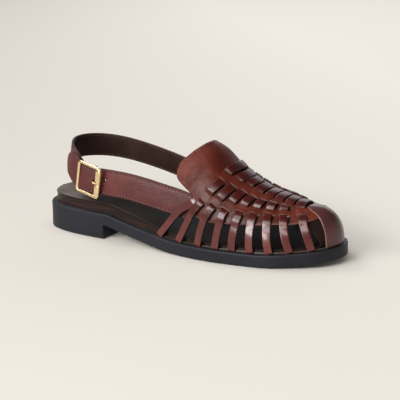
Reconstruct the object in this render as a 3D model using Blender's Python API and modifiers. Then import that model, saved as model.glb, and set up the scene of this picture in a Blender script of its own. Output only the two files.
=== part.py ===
"""Slingback loafer, right shoe, size EU 38, built on a woven fisherman upper.

Lengths along the shoe are measured forward from the back of the heel, heights from the
ground. `place` moves them into the part's frame: origin on the ground under the middle
of the shoe, +X to the outside (lateral side), +Y to the toe, +Z up.
"""
import math

import bmesh
import bpy
from mathutils import Matrix, Vector

MM = 0.001

# driving sizes
SOLE_LENGTH = 262 * MM
OUTSOLE_THICKNESS = 9.5 * MM
HEEL_HEIGHT = 11 * MM
HEEL_BREAST = 66 * MM          # from the back of the heel to the breast
WELT_WIDTH = 3.0 * MM          # outsole showing outside the upper
UPPER_WALL = 2.0 * MM
STRIP_WIDTH = 6.6 * MM
STRAP_WIDTH = 19.2 * MM
STRAP_THICKNESS = 2.0 * MM
GAP = 0.3 * MM                 # between pieces that touch

# outsole edge: from heel, lateral half-width, medial half-width
OUTLINE = (
    (8 * MM, 20.5 * MM, 20.5 * MM),
    (32 * MM, 30.3 * MM, 31.5 * MM),
    (65 * MM, 33.5 * MM, 31.0 * MM),
    (100 * MM, 36.0 * MM, 27.5 * MM),
    (135 * MM, 42.5 * MM, 32.0 * MM),
    (168 * MM, 45.5 * MM, 41.0 * MM),
    (195 * MM, 43.3 * MM, 45.0 * MM),
    (220 * MM, 38.8 * MM, 42.0 * MM),
    (243 * MM, 26.5 * MM, 30.5 * MM),
    (256 * MM, 14.5 * MM, 19.0 * MM),
)
TOE_TIP_X = -2.5 * MM

# underside of the outsole: from heel, height
UNDERSIDE = (
    (0 * MM, HEEL_HEIGHT), (HEEL_BREAST, HEEL_HEIGHT), (85 * MM, 7.3 * MM), (100 * MM, 4.4 * MM),
    (125 * MM, 1.1 * MM), (146 * MM, 0), (206 * MM, 0), (225 * MM, 1.0 * MM),
    (245 * MM, 2.7 * MM), (SOLE_LENGTH, 4.6 * MM),
)

# footbed: from heel, thickness, inset from the outsole edge
FOOTBED = (
    (0 * MM, 8.6 * MM, 4.0 * MM), (70 * MM, 8.6 * MM, 4.2 * MM), (105 * MM, 7.4 * MM, 4.6 * MM),
    (122 * MM, 5.4 * MM, 6.2 * MM), (140 * MM, 4.0 * MM, 6.4 * MM), (160 * MM, 3.0 * MM, 6.2 * MM),
    (SOLE_LENGTH, 3.0 * MM, 6.6 * MM),
)

# crown of the last, the line over the instep and toes: from heel, height
CROWN = (
    (140 * MM, 84.5 * MM), (149 * MM, 82.5 * MM), (158 * MM, 78.4 * MM), (166 * MM, 70 * MM),
    (175 * MM, 61.8 * MM), (183 * MM, 56.4 * MM), (192 * MM, 51.8 * MM), (200 * MM, 48.4 * MM),
    (208 * MM, 46.5 * MM), (216 * MM, 44.8 * MM), (224 * MM, 43.2 * MM), (233 * MM, 42.1 * MM),
    (241 * MM, 41.4 * MM), (SOLE_LENGTH, 37 * MM),
)
CROWN_FRONT = 241.5 * MM       # where the crown line starts, behind the toe tip
CROWN_STEP = 0.54              # crown travel for each unit of travel along the welt
CROWN_ROUND = 14 * MM          # rounds that travel off at the toe
# along the welt from the toe tip: power of the section's curve, where 2 is an ellipse
FULLNESS = ((0, 2.6), (50 * MM, 2.05), (105 * MM, 2.05), (135 * MM, 2.3), (190 * MM, 2.3))

# strips, counted from the back. Places are distances along the welt from the toe tip:
# at the foot, at the sheet's lower edge and at the crown, then that edge's height
STRIPS = (
    (155.5 * MM, 143.5 * MM, 150.0 * MM, 46.0 * MM),
    (138.0 * MM, 134.5 * MM, 137.0 * MM, 35.0 * MM),
    (119.5 * MM, 122.0 * MM, 122.0 * MM, 30.4 * MM),
    (103.5 * MM, 106.5 * MM, 107.0 * MM, 30.4 * MM),
    (89.5 * MM, 92.5 * MM, 90.0 * MM, 30.6 * MM),
    (74.5 * MM, 78.0 * MM, 74.5 * MM, 31.2 * MM),
    (59.0 * MM, 62.5 * MM, 60.5 * MM, 32.0 * MM),
    (43.5 * MM, 47.5 * MM, 47.0 * MM, 32.6 * MM),
    (27.0 * MM, 31.5 * MM, 35.0 * MM, 33.6 * MM),
)
TOE_BAND = (15.5 * MM, 17.5 * MM, 27.0 * MM, 36.6 * MM)      # its edge, in the same columns
# edge of the tongue's side lobe: along the welt, along the welt at the crown, height
LOBE = (
    (159 * MM, 157 * MM, 51 * MM),
    (168 * MM, 165 * MM, 53.5 * MM),
    (176 * MM, 172 * MM, 57 * MM),
    (182 * MM, 177 * MM, 61.5 * MM),
    (185.5 * MM, 180 * MM, 67 * MM),
)
ROWS_BELOW_EDGE = 5
ROWS_ABOVE_EDGE = 8

# strap centre lines, back to front: x, from heel, height, lean of the top toward the foot
SIDE_STRAP = (
    (23.2 * MM, 27.4 * MM, 61.0 * MM, 7), (28.2 * MM, 34.4 * MM, 56.4 * MM, 7),
    (31.8 * MM, 43.5 * MM, 51.5 * MM, 8), (33.2 * MM, 53.4 * MM, 48.8 * MM, 9),
    (33.6 * MM, 68.0 * MM, 48.1 * MM, 10), (34.0 * MM, 88.0 * MM, 47.5 * MM, 11),
    (34.0 * MM, 106.0 * MM, 45.7 * MM, 12), (33.2 * MM, 124.0 * MM, 42.2 * MM, 12),
    (31.6 * MM, 138.0 * MM, 38.8 * MM, 12), (32.2 * MM, 151.0 * MM, 35.2 * MM, 13),
)
BUCKLE_PLACE = 53.4 * MM        # from heel, on the side strap
HEEL_STRAP = (
    (-23.7 * MM, 151.0 * MM, 39.3 * MM, 14), (-21.3 * MM, 140.0 * MM, 42.8 * MM, 13),
    (-20.2 * MM, 131.0 * MM, 45.4 * MM, 12), (-21.3 * MM, 118.0 * MM, 48.6 * MM, 11),
    (-23.4 * MM, 100.0 * MM, 52.3 * MM, 10), (-25.6 * MM, 80.0 * MM, 55.6 * MM, 9),
    (-27.0 * MM, 60.0 * MM, 58.3 * MM, 8), (-26.6 * MM, 46.0 * MM, 59.8 * MM, 8),
    (-23.2 * MM, 34.8 * MM, 61.0 * MM, 8),
    (-17.0 * MM, 26.0 * MM, 61.8 * MM, 8), (-8.0 * MM, 21.0 * MM, 62.5 * MM, 8),
    (2.0 * MM, 19.8 * MM, 62.6 * MM, 8), (11.0 * MM, 22.4 * MM, 61.8 * MM, 8),
    (17.6 * MM, 27.0 * MM, 60.0 * MM, 7),
)

# buckle: a frame outside the strap, its centre bar behind it
BUCKLE_LENGTH = 23.6 * MM
BUCKLE_HEIGHT = 26.8 * MM
BUCKLE_CORNER = 3.6 * MM
REAR_BAR = 2.5 * MM
FRONT_BAR = 4.0 * MM
SIDE_BAR = 2.6 * MM
FRAME_THICKNESS = 2.0 * MM
CENTRE_BAR_RADIUS = 1.05 * MM
CENTRE_BAR_SETBACK = 11.3 * MM  # from the frame's rear end
PRONG_RADIUS = 0.75 * MM
PRONG_SLOT = 4.4 * MM
FOLD_TAIL = 10 * MM            # the heel strap's end, stitched back behind the bar


# curves -----------------------------------------------------------------------------

def slope_limited(rows, column):
    """Slopes of a smooth curve through a table's rows that never overshoots them."""
    steps = [(b[column] - a[column]) / (b[0] - a[0]) for a, b in zip(rows, rows[1:])]
    slopes = [steps[0]]
    for before, after in zip(steps, steps[1:]):
        if before * after <= 0:
            slopes.append(0.0)
        else:
            slopes.append(2 * before * after / (before + after))
    return slopes + [steps[-1]]


def read_table(rows, place, column=1):
    """The value in a column at a place along a table, read from a smooth curve."""
    place = min(max(place, rows[0][0]), rows[-1][0])
    slopes = slope_limited(rows, column)
    for index in range(len(rows) - 1):
        if place <= rows[index + 1][0]:
            break
    start, end = rows[index], rows[index + 1]
    length = end[0] - start[0]
    t = (place - start[0]) / length
    return ((1 + 2 * t) * (1 - t) ** 2 * start[column] + t * (1 - t) ** 2 * length * slopes[index]
            + t * t * (3 - 2 * t) * end[column] - t * t * (1 - t) * length * slopes[index + 1])


def catmull_rom(p0, p1, p2, p3, t):
    """A point between p1 and p2 on the smooth curve through all four."""
    return 0.5 * (2 * p1 + (p2 - p0) * t + (2 * p0 - 5 * p1 + 4 * p2 - p3) * t ** 2
                  + (3 * p1 - p0 - 3 * p2 + p3) * t ** 3)


def smooth_path(points, per_span, closed=False):
    """Points along a smooth curve through control points of any dimension."""
    count = len(points)
    spans = count if closed else count - 1
    path = []
    for index in range(spans):
        if closed:
            ring = [points[(index + offset) % count] for offset in (-1, 0, 1, 2)]
        else:
            ring = [points[min(max(index + offset, 0), count - 1)] for offset in (-1, 0, 1, 2)]
        path += [catmull_rom(*ring, step / per_span) for step in range(per_span)]
    if not closed:
        path.append(points[-1])
    return path


def distances(path):
    """Running length along a path."""
    total = [0.0]
    for a, b in zip(path, path[1:]):
        total.append(total[-1] + (b - a).length)
    return total


def at_distance(path, runs, distance):
    """The point at a distance along a path whose running lengths are known."""
    for index in range(len(path) - 1):
        if distance <= runs[index + 1]:
            break
    t = (distance - runs[index]) / (runs[index + 1] - runs[index])
    return path[index].lerp(path[index + 1], t)


def blend(value, low, high):
    """0 below low, 1 above high and an even ease between them."""
    t = min(max((value - low) / (high - low), 0.0), 1.0)
    return t * t * (3 - 2 * t)


# the last ---------------------------------------------------------------------------

def sole_edge():
    """The outsole's edge seen from above, from the toe tip round by the inside."""
    lateral = [Vector((row[1], row[0])) for row in OUTLINE]
    medial = [Vector((-row[2], row[0])) for row in OUTLINE]
    points = [Vector((TOE_TIP_X, SOLE_LENGTH))] + medial[::-1] + [Vector((0, 0))] + lateral
    return smooth_path(points, 24, closed=True)


SOLE_EDGE = sole_edge()
CENTRE_X = (min(p.x for p in SOLE_EDGE) + max(p.x for p in SOLE_EDGE)) / 2
CENTRE_Y = (min(p.y for p in SOLE_EDGE) + max(p.y for p in SOLE_EDGE)) / 2


def place(x, from_heel, height):
    """A point of the shoe in the part's frame."""
    return Vector((x - CENTRE_X, from_heel - CENTRE_Y, height))


def inset_edge(inset):
    """The sole's edge moved inward, by a distance or by a function of the place."""
    edge = []
    count = len(SOLE_EDGE)
    for index, point in enumerate(SOLE_EDGE):
        along = (SOLE_EDGE[(index + 1) % count] - SOLE_EDGE[index - 1]).normalized()
        amount = inset(point.y) if callable(inset) else inset
        edge.append(point + Vector((-along.y, along.x)) * amount)
    return edge


def underside(from_heel):
    return read_table(UNDERSIDE, from_heel)


def sole_top(from_heel):
    return underside(from_heel) + OUTSOLE_THICKNESS


WELT = inset_edge(WELT_WIDTH)
WELT.append(WELT[0])
WELT_RUNS = distances(WELT)


def foot_point(along):
    """Where the upper meets the sole, by distance from the toe tip, lateral positive."""
    flat = at_distance(WELT, WELT_RUNS, -along % WELT_RUNS[-1])
    return Vector((flat.x, flat.y, sole_top(flat.y) + 1.4 * GAP))


def crown_point(along):
    """The point of the crown line that faces a place on the welt."""
    travel = CROWN_STEP * (math.hypot(along, CROWN_ROUND) - CROWN_ROUND)
    from_heel = CROWN_FRONT - travel
    return Vector((TOE_TIP_X * blend(from_heel, 120 * MM, 200 * MM), from_heel,
                   read_table(CROWN, from_heel)))


def last_point(along, rise):
    """The last's surface: a place along the welt, and 0 at the welt to 1 at the crown."""
    foot = foot_point(along)
    crown = crown_point(along)
    side = blend(abs(along), 10 * MM, 55 * MM)
    fullness = read_table(FULLNESS, abs(along))
    angle = rise * math.pi / 2
    inward = 1 - max(math.cos(angle), 0.0) ** (2 / fullness)
    upward = math.sin(angle) ** (2 / fullness)
    forward = inward + (upward - inward) * side
    x = foot.x + (crown.x - foot.x) * inward
    y = foot.y + (crown.y - foot.y) * forward
    z = foot.z + (read_table(CROWN, y) - foot.z) * upward
    return Vector((x, y, z))


def rise_at_height(along, height):
    """How far up the last's surface a height above the ground lies."""
    low, high = 0.0, 1.0
    for _ in range(24):
        middle = (low + high) / 2
        if last_point(along, middle).z < height:
            low = middle
        else:
            high = middle
    return (low + high) / 2


# scene ------------------------------------------------------------------------------

def clear_scene():
    for old in list(bpy.data.objects):
        bpy.data.objects.remove(old, do_unlink=True)


def make_collection(name):
    collection = bpy.data.collections.new(name)
    bpy.context.scene.collection.children.link(collection)
    return collection


def make_material(name, colour, roughness, metallic=0.0):
    material = bpy.data.materials.new(name)
    material.use_nodes = True
    shader = material.node_tree.nodes["Principled BSDF"]
    shader.inputs["Base Color"].default_value = (*colour, 1.0)
    shader.inputs["Roughness"].default_value = roughness
    shader.inputs["Metallic"].default_value = metallic
    material.diffuse_color = (*colour, 1.0)
    return material


def make_object(name, mesh, collection, material):
    thing = bpy.data.objects.new(name, mesh)
    collection.objects.link(thing)
    mesh.materials.append(material)
    mesh.shade_smooth()
    mesh.set_sharp_from_angle(angle=math.radians(35))
    return thing


def finish_mesh(name, work, turn_outward=True):
    """Merge a bmesh's touching points and make it a mesh."""
    bmesh.ops.remove_doubles(work, verts=work.verts, dist=0.02 * MM)
    if turn_outward:
        bmesh.ops.recalc_face_normals(work, faces=work.faces)
    mesh = bpy.data.meshes.new(name)
    work.to_mesh(mesh)
    work.free()
    return mesh


def add_bevel(thing, width, segments, angle=40):
    bevel = thing.modifiers.new("edges", "BEVEL")
    bevel.width = width
    bevel.segments = segments
    bevel.limit_method = "ANGLE"
    bevel.angle_limit = math.radians(angle)


def add_wall(thing, thickness, offset):
    wall = thing.modifiers.new("wall", "SOLIDIFY")
    wall.thickness = thickness
    wall.offset = offset
    wall.use_quality_normals = True


# soles ------------------------------------------------------------------------------

def side_at(side, from_heel):
    """The point of one side of an edge, listed from toe to heel, at a place along it."""
    for ahead, behind in zip(side, side[1:]):
        if behind.y <= from_heel:
            break
    t = (ahead.y - from_heel) / (ahead.y - behind.y)
    return ahead.lerp(behind, min(max(t, 0.0), 1.0))


def edge_pairs(edge, steps):
    """Facing points of a sole's two sides from toe to heel, closer at the round ends."""
    toe = max(range(len(edge)), key=lambda index: edge[index].y)
    ring = edge[toe:] + edge[:toe]
    heel = min(range(len(ring)), key=lambda index: ring[index].y)
    medial = ring[:heel + 1]
    lateral = [ring[0]] + ring[:heel - 1:-1]
    pairs = []
    for step in range(steps + 1):
        share = (1 + math.cos(math.pi * step / steps)) / 2
        from_heel = medial[-1].y + (medial[0].y - medial[-1].y) * share
        pairs.append((side_at(lateral, from_heel), side_at(medial, from_heel)))
    return pairs


def sole_slab(name, edge, low, high, steps):
    """A slab between two heights that change along the shoe."""
    work = bmesh.new()
    rings = []
    for lateral, medial in edge_pairs(edge, steps):
        ring = [(lateral, low), (medial, low), (medial, high), (lateral, high)]
        rings.append([work.verts.new(place(p.x, p.y, height(p.y))) for p, height in ring])
    for ahead, behind in zip(rings, rings[1:]):
        for index in range(4):
            following = (index + 1) % 4
            work.faces.new((ahead[index], ahead[following], behind[following], behind[index]))
    bmesh.ops.remove_doubles(work, verts=work.verts, dist=0.02 * MM)
    bmesh.ops.dissolve_degenerate(work, edges=work.edges, dist=0.02 * MM)
    return finish_mesh(name, work)


def build_outsole(collection, rubber):
    slab = sole_slab("outsole", SOLE_EDGE, underside, sole_top, 56)
    thing = make_object("outsole", slab, collection, rubber)
    add_bevel(thing, 0.8 * MM, 2)
    return thing


def build_heel(collection, rubber):
    """A straight block under the seat, with a flat foot and an upright breast."""
    edge = inset_edge(0.25 * MM)
    back = [point for point in edge if point.y < HEEL_BREAST]
    start = max(range(len(back)), key=lambda index: (back[index] - back[index - 1]).length)
    back = (back[start:] + back[:start])[::2]
    side_x = back[-1].x
    inner_x = back[0].x
    ring = [Vector((inner_x, HEEL_BREAST))] + back + [Vector((side_x, HEEL_BREAST))]
    work = bmesh.new()
    top = HEEL_HEIGHT - GAP
    base = work.faces.new([work.verts.new(place(p.x, p.y, 0)) for p in ring])
    risen = bmesh.ops.extrude_face_region(work, geom=[base])["geom"]
    verts = [item for item in risen if isinstance(item, bmesh.types.BMVert)]
    bmesh.ops.translate(work, verts=verts, vec=(0, 0, top))
    thing = make_object("heel_block", finish_mesh("heel_block", work), collection, rubber)
    add_bevel(thing, 0.7 * MM, 2)
    return thing


def build_footbed(collection, leather):
    def inset(from_heel):
        return read_table(FOOTBED, from_heel, 2)

    def low(from_heel):
        return sole_top(from_heel) + GAP

    def high(from_heel):
        return low(from_heel) + read_table(FOOTBED, from_heel, 1)

    slab = sole_slab("footbed", inset_edge(inset), low, high, 52)
    thing = make_object("footbed", slab, collection, leather)
    add_bevel(thing, 1.3 * MM, 3)
    return thing


# upper ------------------------------------------------------------------------------

def upper_columns():
    """Columns of the upper's mesh: foot, edge and crown places, edge height, has a strip."""
    half = STRIP_WIDTH / 2
    columns = [(*row[:1], row[0], row[1], row[2], False) for row in reversed(LOBE)]
    strips = [(foot, edge, crown, height) for foot, edge, crown, height in STRIPS]
    for index, (foot, edge, crown, height) in enumerate(strips):
        for side in (1, 0, -1):
            columns.append((foot + side * half, edge + side * half * 1.15,
                            crown + side * half * 1.3, height, side != -1))
        ahead = strips[index + 1] if index + 1 < len(strips) else TOE_BAND
        middle = [(a + b) / 2 for a, b in zip((foot, edge, crown, height), ahead)]
        columns.append((*middle, False))
    foot, edge, crown, height = TOE_BAND
    for share in (1, 0.72, 0.38, 0):
        columns.append((foot * share, edge * share, crown * share, height, share > 0))
    return columns


def column_place(column, rise, edge_rise):
    foot, edge, crown = column[:3]
    if rise < edge_rise:
        return foot + (edge - foot) * rise / edge_rise
    return edge + (crown - edge) * blend(rise, edge_rise, 1.0)


def upper_side(work, side):
    """One side of the upper as an open sheet: strips below the edge, one wall above."""
    columns = upper_columns()
    grid = []
    for column in columns:
        edge_rise = rise_at_height(column[1], column[3])
        line = []
        for row in range(ROWS_BELOW_EDGE + ROWS_ABOVE_EDGE + 1):
            if row < ROWS_BELOW_EDGE:
                rise = edge_rise * row / ROWS_BELOW_EDGE
            else:
                rise = edge_rise + (1 - edge_rise) * (row - ROWS_BELOW_EDGE) / ROWS_ABOVE_EDGE
            point = last_point(side * column_place(column, rise, edge_rise), rise)
            line.append(work.verts.new(place(*point)))
        grid.append(line)
    for index, (behind, ahead) in enumerate(zip(grid, grid[1:])):
        for row in range(ROWS_BELOW_EDGE + ROWS_ABOVE_EDGE):
            if row < ROWS_BELOW_EDGE and not columns[index][4]:
                continue
            corners = [behind[row], ahead[row], ahead[row + 1], behind[row + 1]]
            work.faces.new(corners if side > 0 else corners[::-1])


def build_upper(collection, leather):
    """Toe band, woven vamp, tongue and strips in one wall, open between the strips."""
    work = bmesh.new()
    for side in (1, -1):
        upper_side(work, side)
    loose = [vert for vert in work.verts if not vert.link_faces]
    bmesh.ops.delete(work, geom=loose, context="VERTS")
    mesh = finish_mesh("upper", work, turn_outward=False)
    thing = make_object("upper", mesh, collection, leather)
    add_wall(thing, UPPER_WALL, -1)
    return thing


# straps -----------------------------------------------------------------------------

class Ribbon:
    """A strap's centre line with its lean, read by distance from its first end."""

    def __init__(self, rows):
        control = [Vector((x, y, z, lean * MM)) for x, y, z, lean in rows]
        self.path = smooth_path(control, 10)
        points = [p.to_3d() for p in self.path]
        self.runs = distances(points)
        self.length = self.runs[-1]

    def at(self, distance):
        return at_distance(self.path, self.runs, min(max(distance, 0), self.length))

    def frame(self, distance):
        """Centre, forward, outward and upward directions at a distance."""
        here = self.at(distance)
        step = 0.5 * MM
        along = (self.at(distance + step) - self.at(distance - step)).to_3d().normalized()
        lean = math.radians(here.w / MM)
        flat = Vector((along.y, -along.x, 0)).normalized()
        up = along.cross(flat).normalized()
        if up.z < 0:
            up = -up
        outward = flat * math.cos(lean) + up * math.sin(lean)
        upward = up * math.cos(lean) - flat * math.sin(lean)
        return here.to_3d(), along, outward, upward


def distance_of(ribbon, from_heel):
    """The distance along a strap at which it passes a place along the shoe."""
    return min(ribbon.runs, key=lambda run: abs(ribbon.at(run).y - from_heel))


def strap_mesh(name, stations, columns, openings=()):
    """An open sheet through stations of centre, upward direction and half-width."""
    work = bmesh.new()
    grid = [[work.verts.new(place(*(centre + upward * half * share))) for share in columns]
            for centre, upward, half in stations]
    for row, (behind, ahead) in enumerate(zip(grid, grid[1:])):
        for column in range(len(columns) - 1):
            if (row, column) in openings:
                continue
            work.faces.new((behind[column], ahead[column], ahead[column + 1], behind[column + 1]))
    return finish_mesh(name, work, turn_outward=False)


def slot_columns(slot_width, half_width):
    share = slot_width / 2 / half_width
    return (-1, -share, share, 1)


def lap_spots(buckle_at):
    """Distances along the side strap where both straps' meshes meet, up to the buckle."""
    half = STRAP_WIDTH / 2
    last = buckle_at - PRONG_SLOT
    return [half + (last - half) * step / 4 for step in range(5)] + [buckle_at]


def build_side_strap(collection, leather, ribbon, buckle_at):
    """From under the vamp back through the buckle to a rounded free end."""
    half = STRAP_WIDTH / 2
    hole_back, hole_front = buckle_at + 2.6 * MM, buckle_at + 7.4 * MM
    spots = [0, 1.2 * MM, 2.8 * MM, 5.2 * MM] + lap_spots(buckle_at) + [hole_back, hole_front]
    while spots[-1] < ribbon.length - 7 * MM:
        spots.append(spots[-1] + 6 * MM)
    spots[-1] = ribbon.length
    stations = []
    for spot in spots:
        centre, _, _, upward = ribbon.frame(spot)
        rounding = 1 - min(spot / half, 1)
        stations.append((centre, upward, half * max(math.sqrt(1 - rounding ** 2), 0.3)))
    hole = (spots.index(hole_back), 1)
    mesh = strap_mesh("side_strap", stations, slot_columns(3.4 * MM, half), {hole})
    thing = make_object("side_strap", mesh, collection, leather)
    add_wall(thing, STRAP_THICKNESS, 0)
    return thing


def build_heel_strap(collection, leather, side_ribbon, buckle_at, buckle):
    """From under the vamp round the heel, along the side strap, folded round the bar."""
    half = STRAP_WIDTH / 2
    layer = -(STRAP_THICKNESS + GAP)
    turn = CENTRE_BAR_RADIUS + GAP + STRAP_THICKNESS / 2
    bar = layer - turn
    ribbon = Ribbon(HEEL_STRAP)
    count = round(ribbon.length / (6 * MM))
    stations = []
    for step in range(count + 1):
        centre, _, _, upward = ribbon.frame(ribbon.length * step / count)
        stations.append((centre, upward, half))
    for spot in lap_spots(buckle_at)[:-1]:
        centre, _, outward, upward = side_ribbon.frame(spot)
        stations.append((centre + outward * layer, upward, half))
    first = len(stations) - 1
    fold = []
    turns = 9
    for step in range(turns + 1):
        angle = math.pi * step / turns
        fold.append((turn * math.sin(angle), bar + turn * math.cos(angle)))
    behind = layer - STRAP_THICKNESS - GAP
    fold += [(-1.5 * MM, bar - turn), (-PRONG_SLOT, bar - turn + 0.7 * MM),
             (-7.5 * MM, behind - 1.4 * MM), (-FOLD_TAIL - 2 * MM, behind - 1.2 * MM)]
    upward = buckle.to_3x3().col[1]
    for along, outward in fold:
        stations.append((buckle @ Vector((along, 0, outward)), upward, half))
    slot = {(row, 1) for row in range(first, first + turns + 3)}
    mesh = strap_mesh("heel_strap", stations, slot_columns(PRONG_SLOT, half), slot)
    thing = make_object("heel_strap", mesh, collection, leather)
    add_wall(thing, STRAP_THICKNESS, 0)
    return thing


# buckle -----------------------------------------------------------------------------

def buckle_matrix(ribbon, buckle_at):
    """Forward, upward and outward axes at the strap's middle, before placing."""
    centre, along, outward, upward = ribbon.frame(buckle_at)
    turn = Matrix((along, upward, outward)).transposed().to_4x4()
    return Matrix.Translation(centre) @ turn


def placed(matrix):
    return Matrix.Translation(place(0, 0, 0)) @ matrix


def rounded_rectangle(left, right, half_height, radius, steps=5):
    top = half_height - radius
    corners = ((right - radius, top, 0), (left + radius, top, 90),
               (left + radius, -top, 180), (right - radius, -top, 270))
    ring = []
    for x, y, start in corners:
        for step in range(steps + 1):
            angle = math.radians(start + 90 * step / steps)
            ring.append(Vector((x + radius * math.cos(angle), y + radius * math.sin(angle))))
    return ring


def build_frame(collection, cutters, brass, matrix):
    """A rounded frame over the strap, with a centre bar behind it on two short legs."""
    low = STRAP_THICKNESS / 2 + 1.5 * GAP
    high = low + FRAME_THICKNESS
    left = -CENTRE_BAR_SETBACK
    right = BUCKLE_LENGTH - CENTRE_BAR_SETBACK
    outer = rounded_rectangle(left, right, BUCKLE_HEIGHT / 2, BUCKLE_CORNER)
    half_opening = BUCKLE_HEIGHT / 2 - SIDE_BAR
    inner = rounded_rectangle(left + REAR_BAR, right - FRONT_BAR, half_opening, 1.2 * MM)
    work = bmesh.new()
    rings = []
    for ring, height in ((outer, low), (inner, low), (inner, high), (outer, high)):
        rings.append([work.verts.new((p.x, p.y, height)) for p in ring])
    for index in range(4):
        near, far = rings[index], rings[(index + 1) % 4]
        for spot in range(len(near)):
            ahead = (spot + 1) % len(near)
            work.faces.new((near[spot], near[ahead], far[ahead], far[spot]))
    frame = make_object("buckle_frame", finish_mesh("buckle_frame", work), collection, brass)
    frame.matrix_world = placed(matrix)
    bar_height = -(STRAP_THICKNESS * 1.5 + 2 * GAP + CENTRE_BAR_RADIUS)
    leg_spread = BUCKLE_HEIGHT / 2 - SIDE_BAR / 2
    leg_length = low - bar_height + FRAME_THICKNESS / 2 + CENTRE_BAR_RADIUS
    operands = []
    for side in (-1, 1):
        bpy.ops.mesh.primitive_cube_add(size=1)
        leg = bpy.context.object
        leg.data.transform(Matrix.Diagonal((2.0 * MM, 1.8 * MM, leg_length, 1)))
        middle = bar_height - CENTRE_BAR_RADIUS + leg_length / 2
        leg.matrix_world = placed(matrix) @ Matrix.Translation((0, side * leg_spread, middle))
        operands.append(leg)
    bpy.ops.mesh.primitive_cylinder_add(vertices=16, radius=CENTRE_BAR_RADIUS, depth=2 * leg_spread)
    bar = bpy.context.object
    bar.matrix_world = (placed(matrix) @ Matrix.Translation((0, 0, bar_height))
                        @ Matrix.Rotation(math.pi / 2, 4, "X"))
    operands.append(bar)
    for number, operand in enumerate(operands):
        operand.name = f"bar_piece_{number}"
        for owner in list(operand.users_collection):
            owner.objects.unlink(operand)
        cutters.objects.link(operand)
        operand.hide_render = True
        operand.display_type = "WIRE"
        union = frame.modifiers.new(operand.name, "BOOLEAN")
        union.operation = "UNION"
        union.solver = "EXACT"
        union.object = operand
    return frame


def build_prong(collection, brass, matrix):
    """A round prong: an eye on the centre bar, then up through the strap over the bar."""
    bar = -(STRAP_THICKNESS * 1.5 + 2 * GAP + CENTRE_BAR_RADIUS)
    eye = CENTRE_BAR_RADIUS + GAP + PRONG_RADIUS
    rest = STRAP_THICKNESS / 2 + 2.5 * GAP + FRAME_THICKNESS + PRONG_RADIUS
    route = []
    for step in range(13):
        angle = math.radians(-205 + 295 * step / 12)
        route.append(Vector((-eye * math.cos(angle + math.pi), 0, bar + eye * math.sin(angle))))
    route = route[::-1] if route[0].z > route[-1].z else route
    route += [Vector((x * MM, 0, z)) for x, z in
              ((2.4, bar + eye), (4.2, -0.9 * MM), (5.3, 0.6 * MM), (6.9, rest - 0.6 * MM),
               (8.3, rest), (11.4, rest))]
    curve = bpy.data.curves.new("buckle_prong", "CURVE")
    curve.dimensions = "3D"
    curve.bevel_depth = PRONG_RADIUS
    curve.bevel_resolution = 2
    curve.use_fill_caps = True
    line = curve.splines.new("POLY")
    line.points.add(len(route) - 1)
    for spot, point in zip(line.points, route):
        spot.co = (*point, 1)
    prong = bpy.data.objects.new("buckle_prong", curve)
    collection.objects.link(prong)
    curve.materials.append(brass)
    prong.matrix_world = placed(matrix)
    return prong


def main():
    clear_scene()
    shoe = make_collection("slingback_loafer")
    cutters = make_collection("cutters")
    black_rubber = make_material("black_rubber", (0.018, 0.018, 0.021), 0.55)
    dark_leather = make_material("dark_leather", (0.035, 0.018, 0.012), 0.5)
    brown_leather = make_material("brown_leather", (0.13, 0.025, 0.014), 0.32)
    strap_leather = make_material("strap_leather", (0.09, 0.018, 0.014), 0.4)
    brass = make_material("brass", (0.75, 0.58, 0.34), 0.25, 1.0)
    side_ribbon = Ribbon(SIDE_STRAP)
    buckle_at = distance_of(side_ribbon, BUCKLE_PLACE)
    matrix = buckle_matrix(side_ribbon, buckle_at)
    build_outsole(shoe, black_rubber)
    build_heel(shoe, black_rubber)
    build_footbed(shoe, dark_leather)
    build_upper(shoe, brown_leather)
    build_side_strap(shoe, strap_leather, side_ribbon, buckle_at)
    build_heel_strap(shoe, strap_leather, side_ribbon, buckle_at, matrix)
    build_frame(shoe, cutters, brass, matrix)
    build_prong(shoe, brass, matrix)


main()
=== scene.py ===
import bisect
from math import copysign, cos, hypot, pi, radians, sin, sqrt, tan

import bmesh
import bpy
from mathutils import Matrix, Vector


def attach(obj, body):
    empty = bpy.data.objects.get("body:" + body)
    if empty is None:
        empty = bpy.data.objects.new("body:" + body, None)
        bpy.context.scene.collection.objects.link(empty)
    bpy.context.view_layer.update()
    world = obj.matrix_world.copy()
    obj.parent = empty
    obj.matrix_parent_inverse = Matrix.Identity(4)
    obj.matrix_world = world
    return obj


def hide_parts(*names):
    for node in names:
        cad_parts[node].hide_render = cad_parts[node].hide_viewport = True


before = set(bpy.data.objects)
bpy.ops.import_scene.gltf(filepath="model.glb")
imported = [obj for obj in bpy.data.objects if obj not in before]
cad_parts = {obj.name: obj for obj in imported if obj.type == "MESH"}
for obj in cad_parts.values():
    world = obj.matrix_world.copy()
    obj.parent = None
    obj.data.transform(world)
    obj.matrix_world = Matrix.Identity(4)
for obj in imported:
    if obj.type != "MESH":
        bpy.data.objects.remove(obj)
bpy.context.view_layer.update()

# Slingback loafer, right shoe. Shapes are worked out in millimetres: x to the outside,
# y forward from the back of the heel, z up. placed() brings them into the frame, in metres.
middleX, middleY = 0.24, 131.0


def placed(point):
    return Vector(((point[0] - middleX) * 0.001, (point[1] - middleY) * 0.001, point[2] * 0.001))


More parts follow.
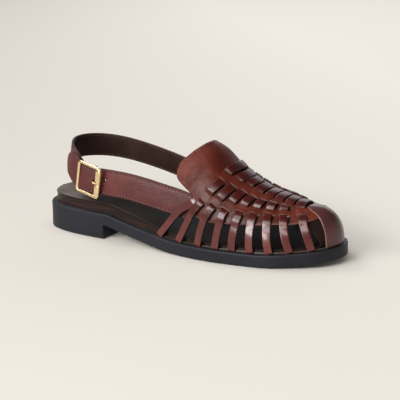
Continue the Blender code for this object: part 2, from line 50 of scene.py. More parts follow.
# ---- curves and tables
def readTable(rows, spot, column=1):  # smooth, and never past a row's value
    steps = [(b[column] - a[column]) / (b[0] - a[0]) for a, b in zip(rows, rows[1:])]
    slopes = [0.0 if a * b <= 0 else 2 * a * b / (a + b) for a, b in zip(steps, steps[1:])]
    slopes = [steps[0], *slopes, steps[-1]]
    spot = min(max(spot, rows[0][0]), rows[-1][0])
    k = 0
    while k < len(rows) - 2 and spot > rows[k + 1][0]:
        k += 1
    length = rows[k + 1][0] - rows[k][0]
    t = (spot - rows[k][0]) / length
    return ((1 + 2 * t) * (1 - t) ** 2 * rows[k][column] + t * (1 - t) ** 2 * length * slopes[k]
            + t * t * (3 - 2 * t) * rows[k + 1][column] - t * t * (1 - t) * length * slopes[k + 1])


def smoothPath(points, perSpan, closed=False):
    count, path = len(points), []
    for k in range(count if closed else count - 1):
        a, b, c, d = (points[(k + n) % count if closed else min(max(k + n, 0), count - 1)]
                      for n in (-1, 0, 1, 2))
        for step in range(perSpan):
            t = step / perSpan
            path.append(0.5 * (2 * b + (c - a) * t + (2 * a - 5 * b + 4 * c - d) * t ** 2
                               + (3 * b - a - 3 * c + d) * t ** 3))
    return path if closed else path + [points[-1]]


def runningLengths(path):
    runs = [0.0]
    for a, b in zip(path, path[1:]):
        runs.append(runs[-1] + (b - a).length)
    return runs


def atRun(path, runs, distance):
    k = min(max(bisect.bisect_right(runs, distance) - 1, 0), len(path) - 2)
    t = (distance - runs[k]) / max(runs[k + 1] - runs[k], 1e-9)
    return path[k].lerp(path[k + 1], min(max(t, 0), 1))


def ease(value, low, high):
    t = min(max((value - low) / (high - low), 0.0), 1.0)
    return t * t * (3 - 2 * t)


def heading(path, k):  # direction of a line at its point k
    return (path[min(k + 1, len(path) - 1)] - path[max(k - 1, 0)]).normalized()


def arc(x, y, radius, start, turn, steps):  # degrees, both ends included
    angles = [radians(start + turn * step / steps) for step in range(steps + 1)]
    return [(x + radius * cos(a), y + radius * sin(a)) for a in angles]


def circle(step, radius=1.0):
    return arc(0, 0, radius, 0, 360 - step, 360 // step - 1)


# ---- the last that the shoe is built on
last = {
    "length": 262.0,
    "outsoleThickness": 9.5,
    "heelBreast": 66.0,
    "weltWidth": 3.0,
    "toeTipX": -2.5,
    # from heel, outer half-width, inner half-width
    "outline": ((8, 20.5, 20.5), (32, 30.3, 31.5), (65, 33.5, 31.0), (100, 36.0, 27.5),
                (135, 42.5, 32.0), (168, 45.5, 41.0), (195, 43.3, 45.0), (220, 38.8, 42.0),
                (243, 26.5, 30.5), (256, 14.5, 19.0)),
    # from heel, height of the outsole's underside
    "underside": ((0, 11), (66, 11), (85, 7.3), (100, 4.4), (125, 1.1), (146, 0), (206, 0), (225, 1.0),
                  (245, 2.7), (262, 4.6)),
    # from heel, height of the line over instep and toes
    "crown": ((140, 84.5), (149, 82.5), (158, 78.4), (166, 70), (175, 61.8), (183, 56.4), (192, 51.8),
              (200, 48.4), (208, 46.5), (216, 44.8), (224, 43.2), (233, 42.1), (241, 41.4), (262, 37)),
    "crownFront": 241.5,
    "crownStep": 0.54,
    "crownRound": 14.0,
    # along the welt from the toe tip, how full the cross-section is
    "fullness": ((0, 2.6), (50, 2.05), (105, 2.05), (135, 2.3), (190, 2.3)),
}

outline = smoothPath([Vector((last["toeTipX"], last["length"]))]
                     + [Vector((-inner, y)) for y, _, inner in last["outline"][::-1]] + [Vector((0, 0))]
                     + [Vector((outer, y)) for y, outer, _ in last["outline"]], 24, closed=True)


def insetOutline(inset, edge=outline):  # inset: millimetres, or a function of the place from the heel
    moved = []
    for k, point in enumerate(edge):
        along = (edge[(k + 1) % len(edge)] - edge[k - 1]).normalized()
        amount = inset(point.y) if callable(inset) else inset
        moved.append(point + Vector((-along.y, along.x)) * amount)
    return moved


def soleTop(y):
    return readTable(last["underside"], y) + last["outsoleThickness"]


welt = insetOutline(last["weltWidth"])
welt.append(welt[0])
weltRuns = runningLengths(welt)


def lastPoint(along, rise):  # along the welt from the toe tip, outer side positive; rise 0 to 1
    flat = atRun(welt, weltRuns, -along % weltRuns[-1])
    footZ = soleTop(flat.y) + 0.42
    rounding = last["crownRound"]
    crownY = last["crownFront"] - last["crownStep"] * (hypot(along, rounding) - rounding)
    crownX = last["toeTipX"] * ease(crownY, 120, 200)
    fullness = readTable(last["fullness"], abs(along))
    angle = min(max(rise, 0.0), 1.0) * pi / 2
    inward = 1 - max(cos(angle), 0.0) ** (2 / fullness)
    upward = sin(angle) ** (2 / fullness)
    forward = inward + (upward - inward) * ease(abs(along), 10, 55)
    y = flat.y + (crownY - flat.y) * forward
    return Vector((flat.x + (crownX - flat.x) * inward, y,
                   footZ + (readTable(last["crown"], y) - footZ) * upward))


def lastNormal(along, rise):
    low, high = max(rise - 0.006, 0.0), min(rise + 0.006, 1.0)
    upwards = lastPoint(along, high) - lastPoint(along, low)
    normal = upwards.cross(lastPoint(along + 0.5, rise) - lastPoint(along - 0.5, rise))
    if rise > 0.9995:
        normal.x = 0
    return normal.normalized()


def onLast(along, rise, out):
    return lastPoint(along, rise) + lastNormal(along, rise) * out


print("last: outline and surface ready")


# ---- mesh helpers
def addObject(name, data):
    thing = bpy.data.objects.new(name, data)
    bpy.context.scene.collection.objects.link(thing)
    return thing


def makePiece(name, points, faces, materials, slots=None, deep=None, smooth=180, merge=0.0, outward=True,
              edges=()):
    # deep: 1 where the leather takes its second, darker colour, painted as shade; merge: metres within which
    # points join
    mesh = bpy.data.meshes.new(name)
    mesh.from_pydata([placed(p) for p in points], edges, faces)
    for material in materials:
        mesh.materials.append(material)
    if slots:
        mesh.polygons.foreach_set("material_index", slots)
    if deep:
        mesh.attributes.new("deep", "FLOAT", "POINT").data.foreach_set("value", deep)
    mesh.shade_smooth()
    if smooth < 180:
        mesh.set_sharp_from_angle(angle=radians(smooth))
    work = bmesh.new()
    work.from_mesh(mesh)
    if merge:
        bmesh.ops.remove_doubles(work, verts=work.verts, dist=merge)
        bmesh.ops.dissolve_degenerate(work, edges=work.edges, dist=merge / 4)
    if outward:
        bmesh.ops.recalc_face_normals(work, faces=work.faces)
    work.to_mesh(mesh)
    work.free()
    return addObject(name, mesh)


def applyModifiers(piece):
    result = bpy.data.meshes.new_from_object(
        piece.evaluated_get(bpy.context.evaluated_depsgraph_get()))
    piece.modifiers.clear()
    piece.data = result


def giveWall(piece, thickness, rim=2, levels=0):  # a wall in millimetres, then softened
    wall = piece.modifiers.new("wall", "SOLIDIFY")
    wall.thickness = thickness * 0.001
    wall.offset = 0
    wall.use_quality_normals = True
    wall.material_offset, wall.material_offset_rim = 1, rim
    if levels:
        soft = piece.modifiers.new("soft", "SUBSURF")
        soft.levels = soft.render_levels = levels
    applyModifiers(piece)


def gridFaces(rows, columns, start=0, closed=False, flip=False, skip=()):
    faces = []
    for row in range(rows if closed else rows - 1):
        for column in range(columns - 1):
            if (row, column) not in skip:
                a, b = start + row * columns + column, start + (row + 1) % rows * columns + column
                quad = [a, b, b + 1, a + 1]
                faces.append(quad[::-1] if flip else quad)
    return faces


def tubeFaces(rows, size, start=0, closed=False):  # capped, unless its ends meet
    faces = []
    for row in range(rows if closed else rows - 1):
        a, b = start + row * size, start + (row + 1) % rows * size
        faces += [[a + k, a + (k + 1) % size, b + (k + 1) % size, b + k] for k in range(size)]
    if not closed:
        faces.append(list(range(start, start + size))[::-1])
        faces.append(list(range(start + (rows - 1) * size, start + rows * size)))
    return faces


def sweep(stations, profile, start=0):  # stations: centre, across, outward
    points = [centre + across * a + outward * o for centre, across, outward in stations for a, o in profile]
    return points, tubeFaces(len(stations), len(profile), start)


# ---- nodes
def join(inlet, value):  # value: a fixed value, or another node's outlet
    if isinstance(value, bpy.types.NodeSocket):
        inlet.id_data.links.new(value, inlet)
    else:
        inlet.default_value = value


def feed(node, **values):
    for key, value in values.items():
        join(node.inputs[key.replace("_", " ")], value)
    return node


def addNode(tree, kind, settings=None, **values):
    node = tree.nodes.new(kind if "Node" in kind else "ShaderNode" + kind)
    for key, value in (settings or {}).items():
        setattr(node, key, value)
    return feed(node, **values)


def mathNode(tree, operation, *values, clamp=False):
    node = addNode(tree, "Math", {"operation": operation, "use_clamp": clamp})
    for inlet, value in zip(node.inputs, values):
        join(inlet, value)
    return node.outputs[0]


def objectPlace(tree):
    return addNode(tree, "TexCoord").outputs["Object"]


def noise(tree, where, scale, detail=2.0, roughness=0.5):
    return addNode(tree, "TexNoise", Vector=where, Scale=scale, Detail=detail,
                   Roughness=roughness).outputs["Fac"]


def bump(tree, height, strength, distance, **more):
    node = addNode(tree, "Bump", Height=height, Strength=strength, Distance=distance, **more)
    return node.outputs["Normal"]


def rangeOf(tree, source, low, high, fromLow=0.3, fromHigh=0.7):
    return addNode(tree, "MapRange", Value=source, From_Min=fromLow, From_Max=fromHigh, To_Min=low,
                   To_Max=high).outputs["Result"]


def ramp(tree, source, stops):
    node = addNode(tree, "ValToRGB", Fac=source)
    node.color_ramp.interpolation = "EASE"
    marks = node.color_ramp.elements
    for mark, (position, colour) in zip((marks[0], marks[1]), (stops[0], stops[-1])):
        mark.position, mark.color = position, (*colour, 1)
    for position, colour in stops[1:-1]:
        marks.new(position).color = (*colour, 1)
    return node.outputs["Color"]


def mixColour(tree, mask, first, second):
    node = addNode(tree, "Mix", {"data_type": "RGBA"}, Factor=mask)
    join(node.inputs[6], first)
    join(node.inputs[7], (*second, 1))
    return node.outputs[2]


# ---- shader groups shared by the materials
def newGroup(name, kind, inputs, outputs):  # inputs and outputs: label and kind of each socket
    tree = bpy.data.node_groups.new(name, kind)
    for way, sockets in (("INPUT", inputs), ("OUTPUT", outputs)):
        for label, kind in sockets.items():
            tree.interface.new_socket(label, in_out=way, socket_type="NodeSocket" + kind)
    return tree, tree.nodes.new("NodeGroupInput").outputs, tree.nodes.new("NodeGroupOutput")


def placeGroup(tree, group, **values):
    return feed(addNode(tree, "Group", {"node_tree": group}), **values).outputs


def buildGrainGroup():
    # hide grain: fine pebbles, pores and slow unevenness of the finish
    inputs = {"Grain Size": "Float", "Grain Depth": "Float", "Ripple Depth": "Float"}
    outputs = {"Normal": "Vector", "Mottle": "Float"}
    tree, given, result = newGroup("hideGrain", "ShaderNodeTree", inputs, outputs)
    size, where = given["Grain Size"], objectPlace(tree)
    pebbles = addNode(tree, "TexVoronoi", {"feature": "SMOOTH_F1"}, Vector=where, Scale=size, Smoothness=0.7)
    pores = noise(tree, where, mathNode(tree, "MULTIPLY", size, 2.3), 4.0, 0.6)
    both = mathNode(tree, "MULTIPLY_ADD", pores, 0.5, pebbles.outputs["Distance"])
    ripple = bump(tree, noise(tree, where, 150.0), given["Ripple Depth"], 0.0015)
    feed(result, Normal=bump(tree, both, given["Grain Depth"], 0.00025, Normal=ripple),
         Mottle=noise(tree, where, 38.0, 3.0, 0.55))
    return tree


def buildRubGroup():
    # rubbed places: lighter where an edge stands out, broken up by noise
    inputs = {"Sharpness": "Float", "Break Up": "Float"}
    tree, given, result = newGroup("rubbedEdges", "ShaderNodeTree", inputs, {"Mask": "Float"})
    pointed = mathNode(tree, "SUBTRACT", addNode(tree, "NewGeometry").outputs["Pointiness"], 0.52)
    steep = mathNode(tree, "MULTIPLY", pointed, given["Sharpness"], clamp=True)
    broken = noise(tree, objectPlace(tree), given["Break Up"], 3.0)
    feed(result, Mask=mathNode(tree, "MULTIPLY", steep, broken, clamp=True))
    return tree


grainGroup = buildGrainGroup()
rubGroup = buildRubGroup()


# ---- materials
def newMaterial(name, **values):
    material = bpy.data.materials.new(name)
    material.use_nodes = True
    tree = material.node_tree
    return material, tree, feed(tree.nodes["Principled BSDF"], **values)


def leather(name, dark, light, rubbed, roughness, grain, depth, ripple=0.12, coat=0.0, coatRoughness=0.2,
            specular=0.4, deep=None):
    material, tree, shader = newMaterial(name, Coat_Weight=coat, Coat_Roughness=coatRoughness,
                                         Specular_IOR_Level=specular)
    texture = placeGroup(tree, grainGroup, Grain_Size=grain, Grain_Depth=depth, Ripple_Depth=ripple)
    base = ramp(tree, texture["Mottle"], ((0.32, dark), (0.68, light)))
    if deep:  # painted shade: a second, darker colour where the mesh's "deep" value is 1, with a duller coat
        where = addNode(tree, "Attribute", {"attribute_name": "deep"}).outputs["Fac"]
        base = mixColour(tree, where, base, deep)
        if coat:
            feed(shader, Coat_Weight=rangeOf(tree, where, coat, coat * 0.15, 0, 1))
    rub = placeGroup(tree, rubGroup, Sharpness=9.0, Break_Up=120.0)
    feed(shader, Base_Color=mixColour(tree, rub["Mask"], base, rubbed), Normal=texture["Normal"],
         Roughness=rangeOf(tree, texture["Mottle"], roughness - 0.05, roughness + 0.06))
    return material


# its deep colour is painted shade, in the crease beside each strip's toe side
vampLeather = leather("vampLeather", (0.058, 0.010, 0.0055), (0.108, 0.019, 0.0105), (0.22, 0.07, 0.04),
                      0.42, 1100, 0.25, ripple=0.4, coat=0.04, coatRoughness=0.28, specular=0.2,
                      deep=(0.012, 0.004, 0.0035))
# its deep colour is painted shade on the part of each strip that lies on the sheet
stripLeather = leather("stripLeather", (0.064, 0.010, 0.008), (0.108, 0.019, 0.014), (0.22, 0.07, 0.05),
                       0.29, 1300, 0.14, ripple=0.2, coat=0.5, coatRoughness=0.16, specular=0.3,
                       deep=(0.046, 0.0062, 0.0045))
toeLeather = leather("toeLeather", (0.046, 0.0145, 0.0145), (0.071, 0.0225, 0.0225), (0.22, 0.09, 0.07),
                     0.33, 1300, 0.08, coat=0.25, coatRoughness=0.25)
strapLeather = leather("strapLeather", (0.062, 0.0125, 0.012), (0.100, 0.021, 0.018), (0.28, 0.11, 0.09),
                       0.46, 1000, 0.5, ripple=0.2, coat=0.05, coatRoughness=0.35, specular=0.27)
liningLeather = leather("liningLeather", (0.016, 0.007, 0.005), (0.032, 0.015, 0.012), (0.05, 0.028, 0.022),
                        0.6, 800, 0.3, specular=0.15)
# near-black strip sides: edge paint, and painted shade for the dark line along each over's toe side
stripEdge = leather("stripEdge", (0.012, 0.005, 0.004), (0.024, 0.010, 0.008), (0.06, 0.025, 0.02),
                    0.5, 1500, 0.2)
# near-black inner faces: a lining, and painted shade for the dark inside the openings and behind the strips
vampLiningAndShade = leather("vampLiningAndShade", (0.008, 0.004, 0.003), (0.016, 0.008, 0.006), (0.04, 0.02, 0.015),
                     0.8, 700, 0.3, specular=0.1)
# grey-brown: a dark brown leather with its sheen painted in; its deep colour is painted shade
insockLeather = leather("insockLeather", (0.085, 0.068, 0.062), (0.125, 0.102, 0.095), (0.08, 0.06, 0.05),
                        0.7, 900, 0.2, ripple=0.06, specular=0.14, deep=(0.006, 0.0032, 0.0026))
cutEdge = leather("cutEdge", (0.14, 0.06, 0.037), (0.25, 0.13, 0.083), (0.3, 0.18, 0.12), 0.65, 1800, 0.3,
                  specular=0.2)
# dark strap edges: edge paint, and painted shade for the dark line along each edge
edgePaintAndShade = leather("edgePaintAndShade", (0.030, 0.008, 0.006), (0.055, 0.016, 0.012), (0.13, 0.05, 0.04),
                      0.5, 1500, 0.25, specular=0.2)
# light tan: the edge's own colour, partly a painted highlight where it catches the light; its deep colour is
# painted shade
insoleEdge = leather("insoleEdge", (0.036, 0.023, 0.015), (0.09, 0.062, 0.043), (0.2, 0.15, 0.1), 0.35,
                     1500, 0.25, coat=0.3, deep=(0.014, 0.007, 0.005))
print("materials: leathers ready")


def buildFootbedSide():
    # wrapped leather pulled round the board, with long streaks
    material, tree, shader = newMaterial("footbedSide", Specular_IOR_Level=0.25)
    stretched = addNode(tree, "Mapping", Vector=objectPlace(tree), Scale=(14, 9, 210)).outputs["Vector"]
    texture = placeGroup(tree, grainGroup, Grain_Size=900.0, Grain_Depth=0.22, Ripple_Depth=0.2)
    stops = ((0.3, (0.005, 0.002, 0.0015)), (0.5, (0.012, 0.0045, 0.003)), (0.62, (0.024, 0.008, 0.005)),
             (0.75, (0.010, 0.004, 0.003)))
    feed(shader, Base_Color=ramp(tree, noise(tree, stretched, 3.2, 5.0, 0.6), stops),
         Roughness=rangeOf(tree, texture["Mottle"], 0.36, 0.5), Normal=texture["Normal"])
    return material


def buildRubber():
    # moulded rubber: near black, fine texture, dusty where it is rubbed
    material, tree, shader = newMaterial("soleRubber", Specular_IOR_Level=0.3)
    where = objectPlace(tree)
    slow = noise(tree, where, 30.0, 4.0, 0.6)
    rub = placeGroup(tree, rubGroup, Sharpness=7.0, Break_Up=60.0)
    body = ramp(tree, slow, ((0.3, (0.005, 0.0058, 0.0095)), (0.7, (0.009, 0.0098, 0.0155))))
    feed(shader, Base_Color=mixColour(tree, rub["Mask"], body, (0.06, 0.06, 0.068)),
         Roughness=rangeOf(tree, slow, 0.46, 0.6),
         Normal=bump(tree, noise(tree, where, 1500.0, 3.0), 0.16, 0.0003))
    return material


def fineMaterial(name, dark, light, roughness, scale=2500.0, detail=2.0, fine=2500.0, depth=0.4, **values):
    # thread or metal: two close colours and a fine bump
    material, tree, shader = newMaterial(name, **values)
    where = objectPlace(tree)
    cloud = noise(tree, where, scale, detail)
    feed(shader, Base_Color=ramp(tree, cloud, ((0.3, dark), (0.7, light))),
         Roughness=rangeOf(tree, cloud, *roughness),
         Normal=bump(tree, noise(tree, where, fine), depth, 0.0002))
    return material


footbedSide = buildFootbedSide()
soleRubber = buildRubber()
polishedBrass = fineMaterial("polishedBrass", (0.83, 0.63, 0.34), (0.93, 0.76, 0.47), (0.13, 0.24),
                             scale=260.0, detail=3.0, fine=2200.0, depth=0.05, Metallic=1.0)
strapThread, liningThread, vampThread = (
    fineMaterial(name, dark, light, (0.5, 0.7), Sheen_Weight=0.2) for name, dark, light in (
        ("strapThread", (0.088, 0.024, 0.020), (0.15, 0.048, 0.040)),
        ("liningThread", (0.034, 0.018, 0.015), (0.064, 0.036, 0.030)),
        ("vampThread", (0.13, 0.045, 0.03), (0.21, 0.085, 0.058))))
# near-black dots: painted shade of the stitch holes
stitchHole = fineMaterial("stitchHole", (0.010, 0.003, 0.003), (0.018, 0.006, 0.005), (0.7, 0.9),
                          Specular_IOR_Level=0.1)
print("materials: all ready")

# ---- soles
soleDesign = {"lip": 0.9, "footBevel": 0.8, "draft": 0.45, "columns": 264}


def evenOutline(edge, extra=()):
    # equal columns on both sides, paired by how far they are from the heel
    heel = min(range(len(edge)), key=lambda k: edge[k].y)
    inner, outer = edge[:heel + 1], [edge[0]] + edge[:heel - 1:-1]
    half = soleDesign["columns"] // 2
    stops = {last["length"] * (1 + cos(pi * step / half)) / 2 for step in range(half + 1)}
    stops = sorted(stops | set(extra), reverse=True)

    def sideAt(side, y):
        for ahead, behind in zip(side, side[1:]):
            if behind.y <= y:
                t = (ahead.y - y) / max(ahead.y - behind.y, 1e-9)
                return ahead.lerp(behind, min(max(t, 0), 1))
        return side[-1]

    return [sideAt(inner, y) for y in stops] + [sideAt(outer, y) for y in stops[-2:0:-1]]


def soleBody(edge, low, high, profile):
    # a closed body from outline columns; profile: inset, share of height, and mm added
    count, size = len(edge), len(profile)
    rings = {inset: insetOutline(inset, edge) for inset, _, _ in profile}
    points = [Vector((*rings[inset][k], low[k] + (high[k] - low[k]) * share + extra))
              for k in range(count) for inset, share, extra in profile]
    caps = []
    for level, turn in ((0, 1), (size - 1, -1)):
        for k in range(count // 2):  # each column joins its partner across the shoe
            ring = dict.fromkeys(v % count * size + level for v in (k, k + 1, count - k - 1, count - k))
            if len(ring) > 2:
                caps.append(list(ring)[::turn])
    return points, gridFaces(count, size, closed=True), caps


def buildSole():
    rear = last["heelBreast"] - soleDesign["draft"]
    edge = evenOutline(outline, extra=(last["heelBreast"], rear))
    low = [readTable(last["underside"], p.y) if p.y > rear + 0.01 else 0.0 for p in edge]
    high = [soleTop(p.y) for p in edge]
    lip, bevel = soleDesign["lip"], soleDesign["footBevel"]
    profile = ((lip, 1, 0), (lip * 0.3, 1, -lip * 0.22), (0, 1, -lip), (0, 0.78, 0), (0.12, 0.5, 0),
               (0, 0.25, 0), (0, 0, bevel), (bevel * 0.3, 0, bevel * 0.25), (bevel, 0, 0))
    points, sides, caps = soleBody(edge, low, high, profile)
    sole = makePiece("sole", points, sides + caps, [soleRubber], merge=0.00002)
    sole.data.set_sharp_from_angle(angle=radians(50))
    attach(sole, "root")
    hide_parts("outsole", "heel_block")


footbedDesign = {
    # from heel, thickness, inset from the outsole's edge
    "shape": ((0, 8.6, 4.0), (70, 8.6, 4.2), (105, 7.4, 4.6), (122, 5.4, 6.2), (140, 4.0, 6.4),
              (160, 3.0, 6.2), (262, 3.0, 6.6)),
    "lip": 0.55,
    "round": 1.3,
}


def buildFootbed():
    shape, lip, bend = footbedDesign["shape"], footbedDesign["lip"], footbedDesign["round"]
    edge = evenOutline(insetOutline(lambda y: readTable(shape, y, 2)))
    low = [soleTop(p.y) + 0.05 for p in edge]
    high = [soleTop(p.y) + 0.3 + readTable(shape, p.y) for p in edge]
    profile = ((2.6, 1, 0), (bend, 1, -0.04), (bend * 0.45, 1, -bend * 0.18), (0.06, 1, -bend * 0.62),
               (0, 1, -bend * 1.05), (lip * 0.5, 1, -bend * 1.35), (lip, 0.72, -0.4), (lip * 0.85, 0.45, 0),
               (lip * 0.3, 0.16, 0.1), (0.1, 0.06, 0), (0, 0, 0))
    points, sides, caps = soleBody(edge, low, high, profile)
    slots = [int(k % (len(profile) - 1) > 2) for k in range(len(sides))]
    slots += [0] * (len(caps) // 2) + [1] * (len(caps) // 2)
    deep = [0.88 * ease(p.y, 26, 63) + 0.12 * ease(p.y, 71, 131) for p in points]  # painted shade: darker past the heel, under the strap and the upper
    footbed = makePiece("footbed_covered", points, sides + caps, [insockLeather, footbedSide], slots, deep,
                        smooth=60, merge=0.00002)
    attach(footbed, "root")
    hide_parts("footbed")


buildSole()
buildFootbed()
print("soles built")


# ---- upper: woven strips
weave = {
    "stripWidth": ((0, 5.9), (0.35, 6.3), (0.7, 6.5), (0.86, 7.2), (1, 7.3)),     # by rise
    "stripThickness": 1.75,
    "sheetThickness": 1.0,
    "sheetOut": -1.1,        # middle of the sheet, from the last's outer surface
    "overOut": 0.4,          # middle of a strip on the sheet
    "underOut": -2.3,        # middle of a strip behind the sheet
    "freeOut": -0.65,        # middle of a strip below the sheet
    "arch": 0.45,            # how far a strip on the sheet bows up between its slots
    "enter": 3.5,            # half the length in which a strip climbs over the sheet's edge
    "dive": 2.5,             # and half the length in which it passes through a slot
    "slotHalf": 0.5,
    # one row a strip, back to front: places along the welt by rise
    "paths": (
        ((0, 158), (0.08, 155), (0.15, 152.3), (0.185, 150.2), (0.215, 146.8), (0.25, 143), (0.30, 139.5),
         (0.355, 137.5)),
        ((0, 138), (0.195, 137), (0.305, 134.5), (0.42, 135), (0.645, 137), (0.795, 142.5), (1, 143)),
        ((0, 119.5), (0.225, 123.5), (0.355, 123.5), (0.455, 124), (0.70, 125), (0.845, 129), (1, 128.5)),
        ((0, 103.5), (0.23, 108.5), (0.40, 112), (0.52, 112.5), (0.725, 112.5), (0.88, 117), (1, 114.5)),
        ((0, 89.5), (0.305, 95), (0.46, 98), (0.57, 100), (0.74, 99), (0.87, 101), (1, 100)),
        ((0, 74.5), (0.34, 80.5), (0.51, 84), (0.62, 86), (0.76, 86), (0.865, 85), (1, 85)),
        ((0, 59), (0.385, 64.5), (0.565, 68.5), (0.655, 70), (0.78, 71.5), (0.865, 70), (1, 69.5)),
        ((0, 43.5), (0.405, 48), (0.59, 51), (0.69, 54), (0.785, 55.5), (0.86, 54), (1, 53.5)),
        ((0, 27), (0.46, 31.5), (0.63, 33.5), (0.825, 37.5), (1, 38)),
    ),
    # rises where each strip meets the sheet: its edge, then each slot in turn
    "slots": (
        (0.28,), (0.165, 0.305, 0.42, 0.645, 0.795), (0.195, 0.355, 0.455, 0.70, 0.845),
        (0.255, 0.40, 0.52, 0.725, 0.88), (0.315, 0.46, 0.57, 0.74, 0.87), (0.36, 0.51, 0.62, 0.76, 0.865),
        (0.405, 0.565, 0.655, 0.78, 0.865), (0.44, 0.59, 0.69, 0.785, 0.86), (0.465, 0.63, 0.825),
    ),
}
frontStrip = len(weave["paths"]) - 1  # passes through two slots on each side, not four


def stripHeight(run, marks, tucked):
    free, over, under = weave["freeOut"], weave["overOut"], weave["underOut"]
    if tucked:
        return free + (under - free) * ease(run, marks[0][0] - 3, marks[0][0] + 2)
    marks = sorted(marks)
    height = kind = free
    for number, (at, order) in enumerate(marks):
        if order == 0:
            target, reach = free if number else over, weave["enter"]
        else:
            target, reach = under if kind == over else over, weave["dive"]
        height += (target - kind) * ease(run, at - reach, at + reach)
        kind = target
        if kind == over and order and number < len(marks) - 1:
            span = (run - at) / max(marks[number + 1][0] - at, 1)
            height += weave["arch"] * sin(pi * min(max(span, 0), 1))
    return height


def stripStations(number, sides):
    # the whole way of one strip: up one side, through the slots and down the other
    path, slots = weave["paths"][number], weave["slots"][number]
    top = path[-1][0]
    half = [(readTable(path, top * step / 160), top * step / 160) for step in range(161)]
    track, marks = [], []
    for side in sides:
        track += [(side * along, rise) for along, rise in (half if side == sides[0] else half[::-1])]
    runs = runningLengths([lastPoint(*spot) for spot in track])
    for side in sides:
        spots = [k for k, spot in enumerate(track) if spot[0] * side > 0]
        for order, rise in enumerate(slots):
            marks.append((runs[min(spots, key=lambda k: abs(track[k][1] - rise))], order))
    track = [Vector(spot) for spot in track]
    count = max(int(runs[-1] / 1.15), 8)
    stations = []
    for run in (runs[-1] * step / count for step in range(count + 1)):
        along, rise = atRun(track, runs, run)
        normal = lastNormal(along, rise)
        share = readTable(weave["stripWidth"], rise) / weave["stripWidth"][-1][1]
        # the last value is painted shade, rising from the sheet's edge upward
        stations.append((lastPoint(along, rise) + normal * stripHeight(run, marks, top < 1), normal, share,
                         ease(rise, slots[0] - 0.02, slots[0] + 0.05)))
    return stations


def ribbonProfile(width, thickness, crown=0.12, corner=0.42, steps=3):
    # closed ring of a soft-cornered flat section, outer face first
    flat, level, half = width / 2 - corner, thickness / 2 - corner, thickness / 2
    ring = [(share * flat, half + crown * (1 - share * share)) for share in (-0.8, -0.4, 0, 0.4, 0.8)]
    ring += arc(flat, level, corner, 90, -90, steps) + arc(flat, -level, corner, 0, -90, steps)
    ring += [(share * flat, -half) for share in (0.6, 0, -0.6)]
    return ring + arc(-flat, -level, corner, 270, -90, steps) + arc(-flat, level, corner, 180, -90, steps)


def buildStrips():
    profile = ribbonProfile(weave["stripWidth"][-1][1], weave["stripThickness"])
    kinds = [0] * 6 + [1] * 5 + [2] * 5 + [1] * 5 + [0] * 3  # outer face, edge, back, edge, outer face
    points, faces, slots, deep = [], [], [], []
    for number, path in enumerate(weave["paths"]):
        for sides in ((1,), (-1,)) if path[-1][0] < 1 else ((1, -1),):
            stations = stripStations(number, sides)
            centres = [station[0] for station in stations]
            framed = []
            for k, (centre, normal, share, shade) in enumerate(stations):
                along = heading(centres, k)
                across = along.cross(normal).normalized()
                framed.append((centre, across * share, across.cross(along).normalized()))
                deep += [shade] * len(profile)
            more, joins = sweep(framed, profile, len(points))
            points += more
            faces += joins
            slots += kinds * (len(stations) - 1) + [1, 1]
    strips = makePiece("woven_strips", points, faces, [stripLeather, stripEdge, vampLiningAndShade], slots, deep)
    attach(strips, "root")


insoleDesign = {"inset": 4.9, "start": 124, "lift": 0.62, "height": 1.1, "depth": 0.9}


def buildInsoleEdge():
    # the insole's cut edge, a thin line behind the strips' feet
    ring = evenOutline(insetOutline(insoleDesign["inset"]))[::-1]
    run = [Vector((*p, soleTop(p.y) + insoleDesign["lift"])) for p in ring if p.y > insoleDesign["start"]]
    first = max(range(len(run)), key=lambda k: (run[k] - run[k - 1]).length)
    run = run[first:] + run[:first]
    stations = []
    for k, point in enumerate(run):
        along = heading(run, k)
        stations.append((point, Vector((0, 0, 1)), Vector((along.y, -along.x, 0)).normalized()))
    points, faces = sweep(stations, ribbonProfile(insoleDesign["height"], insoleDesign["depth"], 0.06, 0.3))
    # painted shade: darker toward the heel
    deep = [1 - ease(p.y, 141, 181) for p in points]
    edge = makePiece("insole_edge", points, faces, [insoleEdge], deep=deep)
    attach(edge, "root")


# ---- upper: the slotted sheet with its tongue
sheetDesign = {
    "slotWidth": 7.0,
    "bend": (-0.5, 0.42),    # how far the sheet sinks under a strip and rises over one
    "lip": (-0.8, 0.7),      # the same beside a slot
    "shade": 0.95,           # painted shade: how far the crease on each strip's toe side is darkened
    # tongue columns, back to front: places along the welt by rise, from the column's lower end
    "tongue": (
        ((0.455, 186.5), (0.54, 190.5), (0.68, 189.5), (0.9, 188.5), (1, 188)),
        ((0.405, 182), (0.54, 186), (0.675, 184.5), (0.89, 183), (1, 182.5)),
        ((0.373, 176.5), (0.625, 178), (0.89, 176.5), (1, 176)),
        ((0.352, 169.5), (0.62, 170.5), (0.893, 171), (1, 170.5)),
        ((0.334, 161.5), (0.62, 163), (0.895, 164), (1, 164)),
        ((0.318, 153.5), (0.625, 155.5), (0.907, 158.5), (1, 159)),
        ((0.303, 146.5), (0.637, 148.5), (0.915, 153.5), (1, 154.5)),
        ((0.242, 141), (0.645, 143), (0.915, 150), (1, 151.5)),
    ),
    # the lower edge between strips, by place along the welt
    "edge": ((5.5, 0.72), (12.5, 0.66), (19.5, 0.585), (29.5, 0.49), (39.5, 0.45), (56.5, 0.43), (72, 0.383),
             (87, 0.335), (101.5, 0.28), (114, 0.22), (128, 0.17), (136.5, 0.18), (141.5, 0.242)),
    "rows": (3, 3, 5, 3, 6),     # between edge, slots and spine
    # columns in front of the strips: place along the welt low and high, and how far keys move up
    "front": ((24, 29, 0.02), (19.5, 24.5, 0.05), (14, 18, 0.09), (8, 9, 0.13)),
}


def sheetKeys(number):  # rises of the sheet's edge and slots at a strip
    slots = weave["slots"][number]
    return [slots[0], slots[1], 0.69, 0.755, slots[2]] if number == frontStrip else list(slots)


